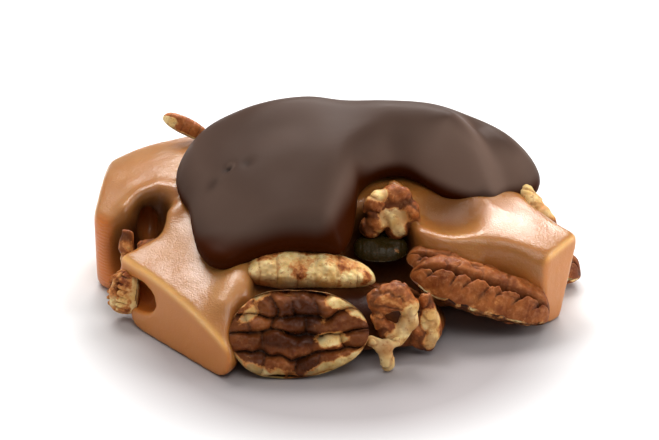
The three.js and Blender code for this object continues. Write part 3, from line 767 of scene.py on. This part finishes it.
# Halves: middle of the flat face, way the long axis points, way the rounded back faces, shares of the
# driving pecan size, a seed, and what differs from PLAIN_HALF. A spot has its place and reach along and
# across, in shares of half the length and width, and its strength.
HALVES = {
    "pecan_front_lower": dict(
        at=(-6.8, -34.4, 8.4), along=(1, 0.02, 0.04), back=(0, 0.94, -0.35), shares=(0.97, 1, 0.9),
        seed=11, fineness=1, rim=0.48, dark_and_shade=0.5, cleft=0.14,
        marks={
            0: (-0.62, -0.35, -0.08, 0.24), 1: (-0.78, -0.42, 0.1),
            2: (-0.6, 0.16, 0.62), 3: (-0.5, -0.1, 0.3),
        },
        spots=[
            (0.48, 0.15, 0.28, 0.2, 0.8), (0.72, -0.78, 0.32, 0.22, 0.7), (-0.5, 0.85, 0.3, 0.2, 0.7),
            (0.5, 0.88, 0.36, 0.18, 0.8), (-0.72, -0.62, 0.16, 0.2, 0.7),
        ],
        glazed=[(0.05, -0.5, 0.34, 0.34, 0.7), (-0.1, 0.1, 0.5, 0.2, 0.7), (0.1, 0.7, 0.2, 0.2, 0.4)],
    ),
    "pecan_front_upper": dict(
        at=(-5.2, -19.3, 12.6), along=(1, 0, -0.05), back=(0, -0.85, 0.52), shares=(0.96, 0.47, 0.75),
        seed=23, fineness=1, split=True, lean=0.4, ragged=0.1, pale=0.8,
        spots=[
            (-0.17, 0.2, 0.26, 0.5, -0.3), (0.5, 0.6, 0.28, 0.3, -0.36), (-0.7, 0.7, 0.3, 0.2, -0.36),
            (0.88, 0, 0.13, 0.6, -0.4), (0.1, 0.9, 0.8, 0.14, -0.3),
        ],
    ),
    "pecan_right_lower": dict(
        at=(28, -16.6, 7), along=(27.5, -1, -9.3), back=(0.32, -0.13, 0.94), shares=(1.06, 0.74, 0.9),
        seed=37, fineness=1, rim=0.3, worn=0.1, dark_and_shade=0.12, groove=0.45,
    ),
    "pecan_right_upper": dict(
        at=(24.8, -13.8, 10), along=(27.5, -3, -9.5), back=(0.1, -0.1, 0.95), shares=(0.86, 0.66, 0.6),
        seed=41, fineness=1, rim=0, worn=0.1, dark_and_shade=0.3, groove=0.45,
    ),
    # Deep in the recess: its darkness is painted shade
    "pecan_deep": dict(
        at=(9, -8.6, 13.6), along=(1, 0.05, -0.03), back=(0, -0.3, 1), shares=(0.4, 0.46, 0.3),
        seed=53, split=True, pale=0.9, dark_and_shade=1,
    ),
    # Deep in the recess: its darkness is painted shade
    "pecan_recess_low": dict(
        at=(7, -19.5, 4.2), along=(1, 0.12, 0), back=(0, -0.55, 0.84), shares=(0.9, 0.8, 0.85),
        seed=61, dark_and_shade=0.7,
    ),
    "pecan_right_back": dict(
        at=(42, 4.6, 2), along=(0.93, -0.35, 0.04), back=(0, 0.2, 1), shares=(0.62, 0.7, 0.75),
        seed=83, dark_and_shade=0.2,
    ),
    "pecan_notch": dict(
        at=(-40.4, -11.6, 6), along=(0.15, 0.1, 1), back=(-0.8, -0.6, 0), shares=(0.35, 0.42, 0.6),
        seed=97, pale=0.42, worn=0.1, dark_and_shade=0.1,
    ),
    "pecan_sliver": dict(
        at=(-30.6, 20.8, 27), along=(8, -1, -4), back=(0.3, -0.5, 0.8), shares=(0.4, 0.22, 0.35),
        seed=101, split=True, spots=[(-0.75, -0.7, 0.4, 0.4, 0.8)],
    ),
    "pecan_back_middle": dict(
        at=(4, 29.5, 6.6), along=(1, -0.1, 0.04), back=(0, 0.75, 0.66), shares=(1, 0.95, 0.9),
        seed=113, dark_and_shade=0.1,
    ),
    "pecan_back_left": dict(
        at=(-29, 27, 5.9), along=(0.8, 0.5, 0.05), back=(-0.5, 0.6, 0.7), shares=(0.95, 0.9, 0.85),
        seed=127, dark_and_shade=0.2,
    ),
    "pecan_back_right": dict(
        at=(33, 17, 6.2), along=(0.3, -1, 0.1), back=(0.8, 0.2, 0.6), shares=(0.9, 0.85, 0.8),
        seed=131, dark_and_shade=0.1,
    ),
}

# Broken pieces: chains of x, y, z and radius, a seed, how pale, and spots with their reach and paleness
NUGGETS = {
    "pecan_crown": dict(
        chains=[
            [(7.2, -7.4, 18, 2.4), (8.2, -7.4, 19.2, 2.4)],
            [(7.4, -7, 22, 2.1), (8.8, -6.4, 23, 2.2)],
            [(11.2, -6, 24, 2.1), (13, -5.8, 23.6, 2.1)],
            [(14.2, -6.6, 21, 2.4), (15, -6.2, 18.4, 2.1)],
            [(10.8, -6, 20.6, 3), (12.2, -6.8, 18, 2.8)],
        ],
        seed=7, pale=0.1,
        spots=[
            ((11.6, -9, 20.4), 2.3, 1), ((9.4, -7.8, 21), 1.3, 0.9),
            ((12.6, -9.4, 17.6), 1.4, 0.8), ((8.6, -7, 25), 1.8, 0.7),
        ],
    ),
    "pecan_chip_middle": dict(
        chains=[
            [(8.6, -29.6, 13, 2.6), (11.6, -29.5, 13.8, 2.9), (14, -29.8, 12, 1.9), (13.8, -30, 8.6, 1.7)],
            [(13.8, -30, 8.6, 1.6), (11.8, -31, 5.6, 1.5), (9, -31.2, 6.8, 0.9)],
            [(7.8, -30.8, 10.4, 1.3), (8.8, -30.8, 8.4, 1.3), (10.6, -30.6, 7, 1.6)],
        ],
        seed=17, pale=0.1,
        spots=[((14.4, -31, 9.5), 3.4, 0.9), ((11.6, -31, 6), 2.6, 0.9)],
    ),
    "pecan_chip_low": dict(
        chains=[
            [(6.8, -32.8, 5.8, 1.1), (8.8, -33, 4.6, 1.4), (11.6, -32.6, 5.8, 1.1)],
            [(9.4, -33.2, 4.4, 1.5), (9.8, -33.6, 1.7, 1.6)],
        ],
        seed=27, pale=0.95,
    ),
    "pecan_chip_right": dict(
        chains=[
            [(17.4, -25.6, 11, 1.6), (17.8, -26, 8, 1.9), (18.2, -26.4, 4.6, 2), (17.6, -26.6, 2.6, 1.9)],
            [(15, -27, 4.6, 2), (17, -26.8, 3.4, 2.2)],
        ],
        seed=47, pale=0.1,
        spots=[((18, -28, 8), 2.4, 0.9), ((18.4, -28.4, 3.4), 2, 0.9)],
    ),
    "pecan_far_right": dict(
        chains=[[
            (37.8, 8, 19.4, 1.6), (39.6, 5.8, 17.4, 1.9), (41.4, 3.6, 15.8, 2), (42.8, 2, 14, 1.8),
            (43.6, 1, 12, 1.6),
        ]],
        seed=79, pale=0.85,
        spots=[((43.4, 1.4, 13.4), 2.4, -0.9)],
    ),
    "pecan_gap_pale": dict(
        chains=[[(-41, -7.2, 15.6, 1.4), (-41.2, -7.6, 13, 1.6), (-40.6, -7.8, 10.5, 1.7)]],
        seed=57, pale=0.4,
    ),
    "pecan_gap_brown": dict(
        chains=[[(-38, -5, 12, 1.7), (-35.6, -5.4, 12, 2.1)], [(-35.6, -5.4, 12, 2), (-35, -5.4, 9.4, 1.8)]],
        seed=67, pale=0.2,
    ),
}
NUGGET_BLEND = 0.5
# Roughness, creases and the finer wrinkles between them: height or depth, and size
NUGGET_ROUGHNESS = (0.3, 2.2)
NUGGET_CREASES = (0.4, 2.3)
NUGGET_WRINKLES = (0.1, 1.1)
NUGGET_SWELL = 0.05


def nugget_mesh(chains, seed, pale, spots=()):
    """A broken piece: chains of lumps merged, roughened and creased."""
    rough_height, rough_size = NUGGET_ROUGHNESS
    crease_depth, crease_size = NUGGET_CREASES
    wrinkle_depth, wrinkle_size = NUGGET_WRINKLES

    def field(x, y, z):
        near = None
        for chain in chains:
            away = chain_distance(x, y, z, chain)
            near = away if near is None else smooth_min(near, away, NUGGET_BLEND)
        near = near + rough_height * layered_noise(x, y, z, rough_size, seed + 1)
        near = near + wrinkle_depth * creases(x, y, z, wrinkle_size, seed + 5, 0.3)
        return near + crease_depth * creases(x, y, z, crease_size, seed, 0.2) - NUGGET_SWELL

    points = [point for chain in chains for point in chain]
    lows = [min(point[n] - point[3] for point in points) - 1 for n in range(3)]
    highs = [max(point[n] + point[3] for point in points) + 1 for n in range(3)]
    vertices, faces = surface_of(field, lows, highs, NUGGET_CELL)
    x, y, z = vertices.T
    # Painted shade in the creases, the wrinkles and the seams between the lumps
    groove = creases(x, y, z, crease_size, seed, 0.3) + 0.45 * creases(x, y, z, wrinkle_size, seed + 5, 0.35)
    if len(chains) > 1:
        nearest = np.sort([chain_distance(x, y, z, chain) for chain in chains], axis=0)
        groove = groove + 1.2 * step(0.9, 0, nearest[1] - nearest[0])
    flesh = pale + 0.25 * lattice_noise(x, y, z, 2.8, seed + 21)
    for middle, reach, amount in spots:
        flesh = flesh + amount * spot(x, y, z, middle, reach)
    masks = {"groove": 0.6 * np.clip(groove, 0, 1), "flesh": flesh, "tone": 0}
    return relax(vertices, faces, 1), faces, masks


# Node materials

# Colours as red, green and blue from 0 to 1. Where there are two, noise mixes them.
CHOCOLATE_FLAT = ((0.073, 0.043, 0.032), (0.084, 0.05, 0.037))
# Painted sheen: the lighter colour put on the steeper slopes of the chocolate
CHOCOLATE_SLOPE_SHEEN = (0.19, 0.125, 0.097)
# Painted shade at the chocolate's foot
CHOCOLATE_LIP_SHADE = (0.046, 0.0085, 0.0006)
# Painted shade in the small pits of the top
CHOCOLATE_PIT_SHADE = (0.012, 0.007, 0.006)
CHOCOLATE_GLINT = (1, 0.88, 0.78, 1)
CARAMEL_SKIN = ((0.42, 0.16, 0.032), (0.49, 0.222, 0.062))
CARAMEL_CUT_FACE = (0.6, 0.235, 0.06)
# Painted highlight on the top edge of the cut faces
CARAMEL_RIM_HIGHLIGHT = (0.92, 0.52, 0.16)
CARAMEL_BAND = (0.68, 0.205, 0.03)
# Painted shade on the uncut walls
CARAMEL_WALL_SHADE = (0.62, 0.175, 0.024)
# Painted shade in the hollows between the nuts
CARAMEL_HOLLOW_SHADE = (0.04, 0.009, 0.003)
PECAN_SKIN = ((0.24, 0.058, 0.012), (0.48, 0.155, 0.038))
PECAN_SKIN_FLECKS = (0.74, 0.34, 0.14)
# Darker skin, and painted shade on the halves deep in the recess
PECAN_SKIN_DARK_AND_SHADE = (0.085, 0.02, 0.003)
# Painted shade in the grooves and cracks of the skin
PECAN_SKIN_GROOVE_SHADE = (0.02, 0.005, 0.002)
PECAN_WORN = (0.64, 0.27, 0.08)
PECAN_FLESH = ((0.84, 0.55, 0.2), (0.98, 0.82, 0.44))
PECAN_FLESH_TAN = (0.66, 0.3, 0.09)
# Painted shade in the grooves and cracks of the flesh
PECAN_FLESH_GROOVE_SHADE = (0.36, 0.105, 0.028)
# Darker flesh, and painted shade on the pale half deep in the recess
PECAN_FLESH_DARK_AND_SHADE = (0.045, 0.028, 0.006)
PECAN_FLESH_SPECKS = (0.42, 0.15, 0.045)
FLOOR_PALE = ((0.79, 0.78, 0.775), (0.81, 0.8, 0.795))
# Painted shadow colour of the floor round the candy
FLOOR_PAINTED_SHADOW = (0.42, 0.385, 0.385)
# Painted shadow: the floor is greyer in a round patch under and in front of the candy; its middle and radii
# are in metres
FLOOR_SHADOW_MIDDLE = (0, -0.017, 0)
FLOOR_SHADOW_RADII = (0.053, 0.052, 1)
FLOOR_HALF = 6


class Nodes:
    """Short hand for building a node tree."""

    def __init__(self, tree):
        self.nodes = tree.nodes
        self.links = tree.links

    def put(self, socket, value):
        """Links the value to the socket where it is an output, and else sets it there."""
        if isinstance(value, bpy.types.NodeSocket):
            self.links.new(value, socket)
        else:
            socket.default_value = value

    def node(self, kind, inputs=(), **settings):
        node = self.nodes.new(kind)
        for key, value in settings.items():
            setattr(node, key, value)
        for key, value in dict(inputs).items():
            self.put(node.inputs[key], value)
        return node

    def math(self, operation, a, b=0.0):
        return self.node("ShaderNodeMath", {0: a, 1: b}, operation=operation).outputs[0]

    def span(self, value, low, high, to_low=0.0, to_high=1.0, easing="LINEAR"):
        inputs = {"Value": value, "From Min": low, "From Max": high, "To Min": to_low, "To Max": to_high}
        return self.node("ShaderNodeMapRange", inputs, interpolation_type=easing).outputs["Result"]


class Shader(Nodes):
    """Short hand for building one node material."""

    def __init__(self, name):
        self.material = bpy.data.materials.new(name)
        self.material.use_nodes = True
        super().__init__(self.material.node_tree)
        self.shader = self.nodes["Principled BSDF"]

    def set(self, key, value):
        self.put(self.shader.inputs[key], value)

    def attribute(self, name):
        return self.node("ShaderNodeAttribute", attribute_name=name).outputs["Fac"]

    def position(self):
        return self.node("ShaderNodeTexCoord").outputs["Object"]

    def noise(self, scale, detail, roughness=0.5):
        inputs = {"Vector": self.position(), "Scale": scale, "Detail": detail, "Roughness": roughness}
        return self.node("ShaderNodeTexNoise", inputs).outputs["Fac"]

    def stripes(self, direction, scale, distortion):
        """Fine parallel ribs."""
        inputs = {"Vector": self.position(), "Scale": scale, "Distortion": distortion, "Detail": 2}
        return self.node("ShaderNodeTexWave", inputs, bands_direction=direction).outputs["Fac"]

    def round_patch(self, middle, radii):
        """1 in the middle, falling to 0 at the radii."""
        inputs = {"Vector": self.position(), "Location": middle, "Scale": radii}
        inside = self.node("ShaderNodeMapping", inputs, vector_type="TEXTURE").outputs[0]
        patch = self.node("ShaderNodeTexGradient", {"Vector": inside}, gradient_type="SPHERICAL")
        return patch.outputs["Fac"]

    def mix(self, factor, a, b):
        node = self.node("ShaderNodeMix", {0: factor}, data_type="RGBA")
        for key, colour in ((6, a), (7, b)):
            self.put(node.inputs[key], colour if isinstance(colour, bpy.types.NodeSocket) else (*colour, 1))
        return node.outputs[2]

    def bumps(self, *layers):
        """Bump layers, each (height, depth in mm)."""
        normal = None
        for height, depth in layers:
            inputs = {"Height": height, "Distance": depth * MM, "Strength": 1.0}
            if normal is not None:
                inputs["Normal"] = normal
            normal = self.node("ShaderNodeBump", inputs).outputs["Normal"]
        self.set("Normal", normal)
        self.set("Coat Normal", normal)


def chocolate_material():
    s = Shader("chocolate")
    lip_shade = s.attribute("lip_shade")
    flat = s.mix(s.span(s.noise(60, 4), 0.35, 0.7), *CHOCOLATE_FLAT)
    # Painted sheen on the steeper slopes
    sheened = s.mix(s.attribute("slope_sheen"), flat, CHOCOLATE_SLOPE_SHEEN)
    # Painted shade: the dark lip at the chocolate's foot
    lip_shaded = s.mix(lip_shade, sheened, CHOCOLATE_LIP_SHADE)
    # Painted shade in the pits, as deep as they are
    s.set("Base Color", s.mix(s.math("MULTIPLY", s.attribute("pit_shade"), 0.8), lip_shaded, CHOCOLATE_PIT_SHADE))
    s.set("Roughness", s.span(lip_shade, 0, 1, 0.46, 0.36))
    s.set("Specular IOR Level", s.span(lip_shade, 0, 1, 0.065, 0.03))
    s.set("Specular Tint", CHOCOLATE_GLINT)
    s.bumps((s.noise(90, 2), 0.12), (s.noise(900, 2), 0.004))
    return s.material


def caramel_material():
    s = Shader("caramel")
    cut, band, hollow_shade = s.attribute("cut"), s.attribute("band"), s.attribute("hollow_shade")
    top = s.mix(s.span(s.noise(70, 4), 0.35, 0.7), *CARAMEL_SKIN)
    faced = s.mix(cut, top, CARAMEL_CUT_FACE)
    banded = s.mix(band, faced, CARAMEL_BAND)
    # Painted highlight along the cut edges
    rim_highlighted = s.mix(s.attribute("rim"), banded, CARAMEL_RIM_HIGHLIGHT)
    # Painted shade: deeper orange on the uncut walls
    wall_shaded = s.mix(s.attribute("deep"), rim_highlighted, CARAMEL_WALL_SHADE)
    # Painted shade in the hollows
    s.set("Base Color", s.mix(hollow_shade, wall_shaded, CARAMEL_HOLLOW_SHADE))
    s.set("Subsurface Weight", 0.5)
    s.set("Subsurface Radius", (0.8, 0.42, 0.18))
    s.set("Subsurface Scale", 2.0 * MM)
    s.set("Roughness", s.span(s.noise(400, 2), 0.3, 0.7, 0.28, 0.4))
    s.set("Specular IOR Level", s.span(hollow_shade, 0, 1, 0.3, 0.06))
    # The shiny skin is off where the caramel is cut, and dull where shade is painted in the hollows
    bare = s.math("ADD", cut, s.math("ADD", band, s.math("MULTIPLY", hollow_shade, 1.6)))
    patchy = s.span(s.noise(120, 3), 0.35, 0.65, 0.7, 1)
    s.set("Coat Weight", s.math("MULTIPLY", patchy, s.span(bare, 0, 1, 1, 0.15)))
    s.set("Coat Roughness", 0.16)
    grain = s.math("MULTIPLY", s.noise(3000, 2, 0.6), s.span(cut, 0, 1, 1, 0.4))
    ribs = s.math("MULTIPLY", s.stripes("Z", 440, 4), band)
    s.bumps((s.noise(160, 2), 0.14), (s.noise(700, 2), 0.05), (grain, 0.085), (ribs, 0.06))
    return s.material


def pecan_skin(s, coarse, fine, groove, tone):
    skin = s.mix(s.span(coarse, 0.36, 0.62), *PECAN_SKIN)
    skin = s.mix(s.span(fine, 0.48, 0.75, 0, 0.5), skin, PECAN_SKIN_FLECKS)
    # Darker skin, and painted shade where the darkness stands for the recess
    skin = s.mix(tone, skin, PECAN_SKIN_DARK_AND_SHADE)
    # Painted shade in the grooves and cracks
    return s.mix(s.math("MULTIPLY", groove, 0.95), skin, PECAN_SKIN_GROOVE_SHADE)


def pecan_flesh(s, fine, groove, tone):
    pale = s.mix(s.span(s.noise(420, 3), 0.35, 0.7), *PECAN_FLESH)
    pale = s.mix(s.span(s.noise(160, 3), 0.5, 0.7, 0, 0.6), pale, PECAN_FLESH_TAN)
    # Painted shade in the grooves and cracks
    pale = s.mix(s.math("MULTIPLY", groove, 0.8), pale, PECAN_FLESH_GROOVE_SHADE)
    # Darker flesh, and painted shade on the pale half deep in the recess
    pale = s.mix(s.math("POWER", tone, 2.5), pale, PECAN_FLESH_DARK_AND_SHADE)
    specks = s.math("MULTIPLY", s.span(fine, 0.56, 0.66, 0, 0.6), s.span(tone, 0, 1, 1, 0.15))
    return s.mix(specks, pale, PECAN_FLESH_SPECKS)


def pecan_material():
    s = Shader("pecan")
    groove, flesh, tone = s.attribute("groove"), s.attribute("flesh"), s.attribute("tone")
    coarse, fine = s.noise(260, 4, 0.6), s.noise(1100, 4, 0.65)
    skin = pecan_skin(s, coarse, fine, groove, tone)
    pale = pecan_flesh(s, fine, groove, tone)
    worn = s.math("ADD", flesh, s.span(coarse, 0.3, 0.7, -0.3, 0.3))
    worn = s.math("ADD", worn, s.span(fine, 0.3, 0.7, -0.12, 0.12))
    blended = s.mix(s.span(worn, 0.3, 0.46), skin, PECAN_WORN)
    s.set("Base Color", s.mix(s.span(worn, 0.45, 0.62), blended, pale))
    s.set("Roughness", s.math("SUBTRACT", s.span(fine, 0.3, 0.7, 0.38, 0.6), s.math("MULTIPLY", tone, 0.2)))
    s.set("Specular IOR Level", 0.22)
    s.set("Subsurface Weight", 0.1)
    s.set("Subsurface Scale", 1.0 * MM)
    s.bumps((coarse, 0.16), (fine, 0.12))
    return s.material


def floor_material():
    s = Shader("floor")
    pale = s.mix(s.noise(0.6, 2), *FLOOR_PALE)
    # Painted shadow: the floor darkens towards the middle of the round patch
    near = s.span(s.round_patch(FLOOR_SHADOW_MIDDLE, FLOOR_SHADOW_RADII), 0, 0.35)
    s.set("Base Color", s.mix(near, pale, FLOOR_PAINTED_SHADOW))
    s.set("Roughness", 0.9)
    s.set("Specular IOR Level", 0.1)
    return s.material


# Pieces

CARAMEL_RELAX_ROUNDS = 2
CHOCOLATE_RELAX_ROUNDS = 4


def make_caramel():
    vertices, faces = surface_of(caramel_field, BOUNDS_LOW, BOUNDS_HIGH, BODY_CELL)
    vertices = above_floor(relax(vertices, faces, CARAMEL_RELAX_ROUNDS))
    masks = caramel_masks(*vertices.T)
    make_piece("caramel_look", ["caramel"], vertices, faces, masks, caramel_material())


def make_chocolate():
    vertices, faces = surface_of(chocolate_field, BOUNDS_LOW, BOUNDS_HIGH, BODY_CELL)
    vertices = relax(vertices, faces, CHOCOLATE_RELAX_ROUNDS)
    masks = chocolate_masks(*vertices.T)
    make_piece("chocolate_look", ["chocolate"], vertices, faces, masks, chocolate_material())


def make_halves(material):
    for name, half in HALVES.items():
        long, wide, high = half["shares"]
        size = (long * PECAN_LENGTH, wide * PECAN_WIDTH, high * PECAN_HEIGHT)
        vertices, faces, masks = pecan_grid(size, {**PLAIN_HALF, **half})
        turn, origin = placement(half["at"], half["along"], half["back"])
        vertices = above_floor(vertices @ turn.T + origin)
        make_piece(name + "_look", [name], vertices, faces, masks, material)


def make_nuggets(material):
    for name, nugget in NUGGETS.items():
        vertices, faces, masks = nugget_mesh(**nugget)
        make_piece(name + "_look", [name], above_floor(vertices), faces, masks, material)


def make_stage():
    mesh = bpy.data.meshes.new("floor")
    corners = [(-1, -1), (1, -1), (1, 1), (-1, 1)]
    mesh.from_pydata([(FLOOR_HALF * x, FLOOR_HALF * y, 0) for x, y in corners], [], [(0, 1, 2, 3)])
    mesh.materials.append(floor_material())
    floor = bpy.data.objects.new("floor", mesh)
    bpy.context.scene.collection.objects.link(floor)


# Studio glow: the way to its middle, the cosines where it starts and is full, and its strengths. The side
# glow comes from left and right.
GLOW_DIRECTION = (-0.1, 0.12, 1)
GLOW_SPREAD = (0, 0.75)
GLOW_WEAK = 0.1
GLOW_FULL = 0.42
SIDE_GLOW_SPREAD = (0.4, 0.95)
SIDE_GLOW = 0.22
# Softboxes: place and size in metres, and power in watts
SOFTBOXES = {
    "back softbox": ((-0.2, 0.4, 0.72), (0.44, 0.3), 4.2),
    "right back softbox": ((0.26, 0.48, 0.68), (0.34, 0.26), 2.6),
    "rear softbox": ((0.14, 0.8, 0.5), (0.4, 0.3), 4),
    "front softbox": ((0.14, -0.42, 0.7), (0.5, 0.4), 1.8),
    "right softbox": ((0.75, -0.05, 0.3), (0.4, 0.25), 1.6),
}


def make_glow():
    world = bpy.data.worlds.new("studio")
    bpy.context.scene.world = world
    world.use_nodes = True
    n = Nodes(world.node_tree)
    way = n.node("ShaderNodeTexCoord").outputs["Generated"]
    middle = Vector(GLOW_DIRECTION).normalized()
    facing = n.node("ShaderNodeVectorMath", {0: way, 1: middle}, operation="DOT_PRODUCT").outputs["Value"]
    above = n.span(facing, *GLOW_SPREAD, GLOW_WEAK, GLOW_FULL, "SMOOTHSTEP")
    sideways = n.math("ABSOLUTE", n.node("ShaderNodeSeparateXYZ", {0: way}).outputs["X"])
    beside = n.span(sideways, *SIDE_GLOW_SPREAD, 0, SIDE_GLOW, "SMOOTHSTEP")
    background = n.nodes["Background"].inputs
    n.put(background["Strength"], n.math("ADD", above, beside))
    n.put(background["Color"], (1, 1, 1, 1))


def make_softbox(name, at, size, power):
    softbox = bpy.data.lights.new(name, "AREA")
    softbox.shape = "RECTANGLE"
    softbox.size, softbox.size_y = size
    softbox.energy = power
    lamp = bpy.data.objects.new(name, softbox)
    bpy.context.scene.collection.objects.link(lamp)
    lamp.location = at
    lamp.rotation_euler = (-Vector(at)).to_track_quat("-Z", "Y").to_euler()


def make_lights():
    make_glow()
    for name, (at, size, power) in SOFTBOXES.items():
        make_softbox(name, at, size, power)


make_camera()
make_lights()
make_stage()
make_caramel()
make_chocolate()
pecan = pecan_material()
make_halves(pecan)
make_nuggets(pecan)

view = bpy.context.scene.view_settings
view.view_transform = "Standard"
view.look = "None"
view.gamma = 0.92
